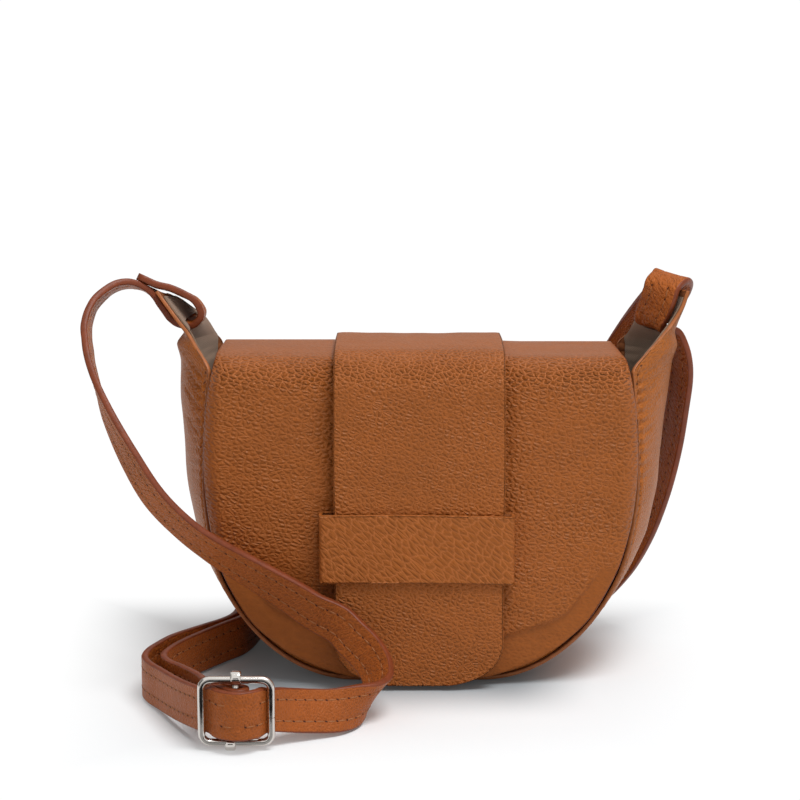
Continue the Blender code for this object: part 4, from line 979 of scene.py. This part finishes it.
# Flap, tab and band
FLAP_EDGE = (
    (86.7, 125.7), (88.0, 117.0), (88.9, 105.0), (89.2, 91.0), (88.3, 77.0), (86.2, 64.0), (82.3, 50.6),
    (76.6, 38.4), (70.3, 28.0), (62.5, 19.8), (52.7, 12.7), (40.8, 6.9), (27.5, 2.9), (14.0, 1.5),
)
STEP_LINE = (
    (-75.0, 52.0), (-63.4, 37.0), (-57.9, 33.2), (-50.5, 29.2), (-41.0, 25.4), (-30.0, 23.0),
    (30.0, 21.0), (34.1, 21.6), (42.9, 23.9), (51.7, 26.7), (57.0, 29.0), (61.8, 31.7), (75.0, 50.0),
)
FLAP_REAR_HALF = 82.6
FLAP_BEND_HALF = 83.8
REAR_TOP = 133.2
ARCH_TOP = 137.7
BEND = 12.0
BEND_AT = -26.3
REAR_BEND = 3.0
REAR_FACE = 32.2
FLAP_FACE = -38.3
LAP_FOOT = 121.0
LAP_ROWS = (123.5, 127.0)
LAP_ROW_HALF = 77.0
TAB_FACE = -44.3
TAB_RISE = 3.1
TAB_HALF = 35.2
TAB_ROUND = 22.0
TAB_FOOT = 1.0


def arch_height(depth):
    """Height of the flap's outer side over the top of the bag."""
    share = (REAR_FACE - REAR_BEND - depth) / (REAR_FACE - REAR_BEND - BEND_AT)
    return REAR_TOP + (ARCH_TOP - REAR_TOP) * math.sin(min(max(share, 0.0), 1.0) * math.pi / 2)


def front_bend(radius_at):
    """(depth, height) round the flap's front bend; radius_at gives the radius at a share of it."""
    found = []
    for i in range(29):
        turn = math.pi / 2 * i / 28
        radius = radius_at(math.sin(turn))
        found.append((BEND_AT - radius * math.sin(turn), ARCH_TOP - BEND + radius * math.cos(turn)))
    return found


def flap_profile(below, rear):
    """(depth, height) from the flap's lap behind the hinge to the top of its front."""
    middle = REAR_TOP - REAR_BEND
    found = [(REAR_FACE - below, LAP_FOOT + (middle - LAP_FOOT) * i / 8) for i in range(8)] if rear else []
    for i in range(9):
        turn = math.pi / 2 * i / 8
        radius = REAR_BEND - below
        found.append((REAR_FACE - REAR_BEND + radius * math.cos(turn), middle + radius * math.sin(turn)))
    for i in range(1, 34):
        depth = REAR_FACE - REAR_BEND + (BEND_AT - REAR_FACE + REAR_BEND) * i / 34
        found.append((depth, arch_height(depth) - below))
    return found + front_bend(lambda share: BEND - below)


def arch_half(depth, height):
    """Half the flap's width over the top and round the front bend."""
    if depth > BEND_AT:
        share = min(max((REAR_FACE - depth) / (REAR_FACE - BEND_AT), 0.0), 1.0)
        return FLAP_REAR_HALF + (FLAP_BEND_HALF - FLAP_REAR_HALF) * share
    share = min((ARCH_TOP - height) / BEND, 1.0)
    return FLAP_BEND_HALF + (FLAP_EDGE[0][0] - FLAP_BEND_HALF) * share**0.7


def flap_edge_rows():
    """The front outline in close steps: half width and height."""
    return catmull([(x, 0.0, z) for x, z in FLAP_EDGE], 12)[1:, [0, 2]]


def draped_grid(profile, edge, front, columns, half_of):
    """Grid over the top and down the front, its flat coordinates, and each point's distance from the side."""
    across = from_even(columns, 0.35)
    rows = [(half_of(depth, height), depth, height) for depth, height in profile]
    rows = np.array(rows + [(half, front, height) for half, height in edge])
    grid = np.zeros((len(rows), columns, 3))
    grid[..., 0] = rows[:, :1] * across
    grid[..., 1:] = rows[:, None, 1:]
    uv = np.zeros(grid.shape[:2] + (2,))
    uv[..., 0] = grid[..., 0]
    uv[..., 1] = reach_along(rows[:, 1:])[:, None]
    return grid, uv, (1 - np.abs(across)) * rows[:, :1]


def outwards(grid):
    """Away from the inside of the bag's upper front."""
    return (grid - np.array([0.0, 4.0, 60.0])) * np.array([0.0, 1.0, 1.0])


def side_roll(from_side, height):
    """How far the flap's side edges turn back towards the gusset."""
    return 4.2 * np.clip(1 - from_side / 6.5, 0, 1) ** 2 * step(height, 50.0, 72.0)


def above_step(x, z):
    """Height over the line where the flap's lower front steps back."""
    return z - np.interp(x, [p[0] for p in STEP_LINE], [p[1] for p in STEP_LINE])


def flap_relief(grid, from_side):
    """How far the flap's surface stands out of the smooth form, in millimetres."""
    x, y, z = grid[..., 0], grid[..., 1], grid[..., 2]
    front = step(-y, 30.0, 38.0)
    fade = 1 - step(np.abs(x - 2.0), 62.0, 76.0)
    total = -1.35 * (1 - step(above_step(x, z), -0.9, 0.5)) * fade * front
    total = total - 0.5 * np.clip(1 - from_side / 4.0, 0, 1) ** 2
    beside = np.exp(-np.maximum(-36.0 - x, 0) / 4.5) * (x < -30)
    beside = beside + 0.6 * np.exp(-np.maximum(x - 35.5, 0) / 2.5) * (x > 30)
    total = total - 1.5 * beside * front * step(z, 55.0, 80.0)
    reach = np.exp(-np.maximum(-38.0 - x, 0) / 6.0) * (x < -35)
    for k in range(9):
        ray = z - (68.0 + 7.0 * k) - (0.5 + 0.12 * k) * (-36.0 - x)
        total = total - 0.45 * bell(ray + 0.8 * rough_field(grid, 7.0, k), 0.0, 0.8) * reach * front
    total = total + 0.9 * rough_field(grid, 42.0, 1.7) * np.clip(from_side / 12.0, 0, 1)
    total = total + 0.35 * rough_field(grid, 15.0, 4.4) * np.clip(from_side / 6.0, 0, 1) * front
    return total * step(-y, -26.0, -16.0)


def flap_grain(grid):
    """How deep the grain is, which also sets how strong the painted highlight in its valleys is: fine on the
    top, coarse round the bend, smooth below the step.
    """
    x, y, z = grid[..., 0], grid[..., 1], grid[..., 2]
    depth = 0.50 + 0.50 * step(-y, 24.0, 33.0) + 1.25 * bell(z, 133.0, 6.0) * (y < -20)
    depth = depth * (1 - 0.75 * (1 - step(above_step(x, z), -1.0, 2.0)))
    left_low = step(-x, 30.0, 50.0) * (1 - step(z, 50.0, 75.0))
    right_low = bell(x, 60.0, 28.0) * bell(z, 71.0, 14.0)
    return depth * (1 - 0.35 * left_low) * (1 + 0.15 * right_low)


def make_flap():
    grid, uv, from_side = draped_grid(flap_profile(0.0, True), flap_edge_rows(), FLAP_FACE, 181, arch_half)
    grain = flap_grain(grid)
    grid = grid + normals_of(grid, outwards) * flap_relief(grid, from_side)[..., None]
    grid[..., 1] += side_roll(from_side, grid[..., 2]) * step(-grid[..., 1], 26.0, 37.0)
    grid[..., 0] += 0.6 * step(-grid[..., 1], 20.0, 33.0) * step(grid[..., 2], 45.0, 75.0)
    sunk = 0.8 * step(grid[..., 0], 22.0, 45.0) * step(grid[..., 1], -30.0, -8.0)
    grid[..., 2] -= sunk
    finish = [FLAP_LEATHER, EDGE_PAINT, SUEDE]
    up = normals_of(grid, outwards)
    outer = shell("flap_skin", grid, up, LEATHER_THICK - sunk, finish, uv, 0.5, 0.6, grain=grain)
    lap = []
    for height in LAP_ROWS:
        line = [(x, REAR_FACE + 0.02, height) for x in np.linspace(-LAP_ROW_HALF, LAP_ROW_HALF, 120)]
        lap += along_line(line, [(0, 1, 0)] * 120, 4.2)
    return outer, stitches("flap_stitches", lap, 2.8, 0.28)


FLAP_LINING_INSET = 2.6
FLAP_LINING_DEPTH = 3.6
FLAP_LINING_REAR = 23.0


def make_flap_lining():
    edge = [(x - FLAP_LINING_INSET, z + 2.2) for x, z in flap_edge_rows()]
    profile = [row for row in flap_profile(FLAP_LINING_DEPTH, False) if row[0] < FLAP_LINING_REAR]

    def half_of(depth, height):
        return arch_half(depth, height) - FLAP_LINING_INSET

    grid, uv, from_side = draped_grid(profile, edge, FLAP_FACE + FLAP_LINING_DEPTH, 81, half_of)
    roll = side_roll(from_side + FLAP_LINING_INSET, grid[..., 2])
    grid[..., 1] += roll * step(-grid[..., 1], 26.0, 34.0)
    up = normals_of(grid, outwards)
    calm = np.clip((1 - np.abs(from_even(81, 0.35))) * 10, 0, 1)
    crumple = 0.25 * rough_field(grid, 16.0, 6.1) * calm
    grid = grid - up * (0.1 + np.abs(crumple))[..., None]
    return shell("flap_lining_cloth", grid, up, LINING_THICK, LINING_FINISH, uv, 0.3, 0.8, 4)


def tab_rows():
    """Half width and height down the tab's front to its rounded end."""
    top = FLAP_EDGE[0][1]
    found = []
    for k in range(1, 60):
        found.append((TAB_HALF + 0.25 * math.sin(k / 34 * math.pi), top - (top - TAB_ROUND) * k / 60))
    for i in range(39):
        turn = math.pi / 2 * i / 46
        drop = (TAB_ROUND - TAB_FOOT) * math.sin(turn) ** 0.8
        found.append((max(TAB_HALF * math.cos(turn) ** 0.8, 0.6), TAB_ROUND - drop))
    return found


def make_tab():
    profile = []
    for i in range(30):
        depth = 30.0 + (BEND_AT - 30.0) * i / 30
        profile.append((depth, arch_height(depth) + TAB_RISE))
    profile += front_bend(lambda share: BEND + TAB_RISE + (FLAP_FACE - TAB_FACE - TAB_RISE) * share)
    grid, uv, from_side = draped_grid(profile, tab_rows(), TAB_FACE, 81, lambda depth, height: TAB_HALF)
    y, z = grid[..., 1], grid[..., 2]
    calm = np.clip(from_side / 6.0, 0, 1)
    total = 0.5 * rough_field(grid, 30.0, 6.6) * calm + 0.2 * rough_field(grid, 11.0, 2.9) * calm
    total = total - 0.35 * np.clip(1 - from_side / 3.0, 0, 1) ** 2 - 0.3 * bell(z, 60.5, 17.0) * (y < -40)
    grain = 0.50 + 0.50 * step(-y, 24.0, 34.0) + 0.8 * bell(z, 135.5, 6.0) * (y < -20)
    grid = grid + normals_of(grid, outwards) * total[..., None]
    up = normals_of(grid, outwards)
    thick = 2.8 + 1.2 * step(-y, 26.0, 42.0)
    finish = [TAB_LEATHER, TAB_LEATHER, SUEDE]
    return shell("tab_leather_piece", grid, up, thick, finish, uv, 0.9, 0.75, 8, grain)


BAND_LEFT = -41.0
BAND_RIGHT = 39.0
BAND_FRONT = -46.0
BAND_REAR = -38.6


def make_band():
    loop = np.array(round_loop(BAND_LEFT, BAND_RIGHT, BAND_FRONT, BAND_REAR, 2.3, 8))
    dense = []
    for a, b in zip(loop, np.roll(loop, -1, 0)):
        count = max(1, int(np.linalg.norm(b - a) / 1.2))
        dense += [a + (b - a) * c / count for c in range(count)]
    dense = np.array(dense)
    seam = int(np.argmin(np.abs(dense[:, 0]) + 100 * (dense[:, 1] < -40)))
    dense = np.concatenate([dense[seam:], dense[: seam + 1]])
    x, y = dense[:, :1], dense[:, 1:]
    heights = np.concatenate([[46.0, 46.4, 47.0], np.linspace(48, 73, 24), [74.0, 74.6, 75.0]])
    share = (x - BAND_LEFT) / (BAND_RIGHT - BAND_LEFT)
    bow = 0.5 * np.sin(share * math.pi) * (y < -42) * np.where(heights > 60, 1.0, 0.6)
    grid = np.zeros((len(dense), len(heights), 3))
    grid[..., :2] = dense[:, None]
    grid[..., 2] = heights + bow - 0.6 * share
    centre = np.array([(BAND_LEFT + BAND_RIGHT) / 2, (BAND_FRONT + BAND_REAR) / 2, 0.0])
    up = normals_of(grid, lambda g: (g - centre) * np.array([0.2, 1.0, 0.0]))
    uv = np.zeros(grid.shape[:2] + (2,))
    uv[..., 0] = reach_along(dense)[:, None]
    uv[..., 1] = heights
    grid = grid + up * (0.12 * rough_field(grid, 10.0, 3.3))[..., None]
    return shell("band_leather_piece", grid, up, 1.4, [BAND_LEATHER, BAND_LEATHER, SUEDE], uv, 0.45, 0.6)


def put(piece, body, slot, *nodes):
    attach(piece, body)
    if nodes:
        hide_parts(*nodes)
    return piece


GUSSET, GUSSET_SEWING = make_gusset()
put(GUSSET, "root", "pebbled_leather", "gusset")
put(GUSSET_SEWING, "root", "pebbled_leather")
put(make_gusset_lining(), "root", "lining_cloth", "gusset_lining")
put(make_panel("front_panel_leather", -1, 131.5, BODY_LEATHER, 0.0), "root", "pebbled_leather", "front_panel")
put(make_panel("back_panel_leather", 1, 131.2, BACK_LEATHER, 0.5), "root", "pebbled_leather", "back_panel")
put(make_panel_lining("front_lining_cloth", -1), "root", "lining_cloth", "front_lining")
put(make_panel_lining("back_lining_cloth", 1), "root", "lining_cloth", "back_lining")
FLAP, FLAP_SEWING = make_flap()
for piece, slot_name, nodes in (
    (FLAP, "pebbled_leather", ("flap",)),
    (make_flap_lining(), "lining_cloth", ("flap_lining",)),
    (make_tab(), "pebbled_leather", ("closure_tab", "tab_core", "tab_backing")),
):
    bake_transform(piece)
    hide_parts(*nodes)
put(FLAP_SEWING, "root", "pebbled_leather")
put(make_band(), "flap_body", "pebbled_leather", "keeper_band")

# Pieces kept from the frame
for node in ("flap_stiffener", "snap_socket", "snap_socket_washer", "snap_stud", "snap_stud_washer"):
    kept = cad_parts[node]
    kept.data.materials.clear()
    kept.data.materials.append(BOARD if node == "flap_stiffener" else NICKEL)

# Floor and light
FLOOR_REACH = 4.0
FLOOR_DROP = -0.0004


def flat_sheet(name, corners):
    mesh = bpy.data.meshes.new(name)
    mesh.from_pydata(corners, [], [(0, 1, 2, 3)])
    return in_scene(name, mesh)


def straight_rays(tree):
    """1 for rays from the camera, off a polished face or through a clear one, 0 for soft light."""
    path = tree.nodes.new("ShaderNodeLightPath")
    seen = path.outputs["Is Camera Ray"]
    for kind in ("Is Glossy Ray", "Is Transmission Ray"):
        either = tree.nodes.new("ShaderNodeMath")
        either.operation = "MAXIMUM"
        tree.links.new(seen, either.inputs[0])
        tree.links.new(path.outputs[kind], either.inputs[1])
        seen = either.outputs[0]
    return seen


def floor_finish():
    """Pale floor that keeps the shadows near the object and turns pure white away from it; under the bag and
    just in front of it its colour is darkened to grey, a painted shadow.
    """
    g = Graph("floor_white")
    g.feed("Roughness", 0.95)
    g.feed("Specular IOR Level", 0.0)
    x, y = g.parts(g.inside())[:2]
    across = g.math("ABSOLUTE", g.math("ADD", x, 0.010))
    along = g.math("ABSOLUTE", g.math("ADD", y, 0.030))
    past = g.math("MAXIMUM", g.math("SUBTRACT", across, 0.115), g.math("SUBTRACT", along, 0.095))
    far = g.ramp(past, -0.035, 0.040)
    aside = g.math("ABSOLUTE", g.math("ADD", x, 0.015))
    # Painted shadow: the floor's colour darkens to grey under the bag and just in front of it.
    painted_shadow = g.math("MULTIPLY", g.ramp(aside, 0.050, 0.090, 1.0, 0.0), g.ramp(y, -0.082, -0.030))
    g.feed("Base Color", g.mix(painted_shadow, (0.905, 0.93, 0.945), (0.31, 0.34, 0.36)))
    seen = straight_rays(g.tree)
    white, glow = [g.add("ShaderNodeEmission") for _ in range(2)]
    white.inputs["Strength"].default_value = 1.0
    for light in (white, glow):
        light.inputs["Color"].default_value = (1, 1, 1, 1)
    g.join(g.math("MULTIPLY", seen, 0.03), glow.inputs["Strength"])
    blend = g.add("ShaderNodeMixShader")
    for socket, source in enumerate((g.math("MULTIPLY", far, seen), g.shader.outputs[0], white.outputs[0])):
        g.join(source, blend.inputs[socket])
    lift = g.add("ShaderNodeAddShader")
    g.join(blend.outputs[0], lift.inputs[0])
    g.join(glow.outputs[0], lift.inputs[1])
    g.join(lift.outputs[0], g.tree.nodes["Material Output"].inputs["Surface"])
    return g.material


corner_signs = ((-1, -1), (1, -1), (1, 1), (-1, 1))
floor = flat_sheet("floor", [(FLOOR_REACH * x, FLOOR_REACH * y, FLOOR_DROP) for x, y in corner_signs])
floor.data.materials.append(floor_finish())


def plain_world(ambient):
    """White to the camera and in reflections, a soft even light on everything else."""
    world = bpy.data.worlds.new("world")
    bpy.context.scene.world = world
    world.use_nodes = True
    tree = world.node_tree
    tree.nodes.clear()
    out = tree.nodes.new("ShaderNodeOutputWorld")
    mix = tree.nodes.new("ShaderNodeMixShader")
    for socket, strength in ((1, ambient), (2, 1.0)):
        back = tree.nodes.new("ShaderNodeBackground")
        back.inputs["Color"].default_value = (1, 1, 1, 1)
        back.inputs["Strength"].default_value = strength
        tree.links.new(back.outputs[0], mix.inputs[socket])
    tree.links.new(straight_rays(tree), mix.inputs[0])
    tree.links.new(mix.outputs[0], out.inputs[0])


plain_world(0.45)


def lamp(name, place, aim, size, power):
    data = bpy.data.lights.new(name, "AREA")
    data.shape = "RECTANGLE"
    data.size, data.size_y = size
    data.energy = power
    obj = in_scene(name, data)
    obj.location = place
    obj.rotation_euler = (Vector(aim) - Vector(place)).to_track_quat("-Z", "Y").to_euler()


def reflected_card(name, corners, level):
    """A grey sheet that only polished and glossy faces see, as the dark parts of a studio."""
    obj = flat_sheet(name, corners)
    g = Graph(name)
    for socket, source in (
        ("Base Color", (0, 0, 0)),
        ("Specular IOR Level", 0.0),
        ("Emission Color", (1.0, 0.97, 0.94)),
        ("Emission Strength", level),
    ):
        g.feed(socket, source)
    obj.data.materials.append(g.material)
    for kind in ("camera", "diffuse", "shadow", "transmission"):
        setattr(obj, "visible_" + kind, False)


def upright(x0, y0, x1, y1, low, high):
    return [(x0, y0, low), (x1, y1, low), (x1, y1, high), (x0, y0, high)]


for name, corners, level in (
    ("card_left", upright(-1.1, -0.8, -1.1, 0.8, 0.0, 1.0), 0.20),
    ("card_right", upright(1.1, -0.8, 1.1, 0.8, 0.0, 1.0), 0.60),
    ("card_behind", upright(-0.28, 1.2, 0.28, 1.2, 0.0, 0.9), 0.48),
    ("card_behind_left", upright(-1.1, 1.2, -0.28, 1.2, 0.0, 0.9), 0.05),
    ("card_behind_right", upright(0.28, 1.2, 1.1, 1.2, 0.0, 0.9), 0.30),
    ("card_camera", upright(-0.34, -1.7, 0.10, -1.7, 0.02, 0.42), 0.04),
    ("card_floor", [(-0.15, -0.40, 0.0), (0.01, -0.40, 0.0), (0.01, -0.15, 0.0), (-0.15, -0.15, 0.0)], 0.03),
):
    reflected_card(name, corners, level)
lamp("key", (0.30, -0.42, 1.15), (0.0, 0.0, 0.06), (0.65, 0.45), 10.5)
bpy.context.scene.view_settings.view_transform = "Standard"
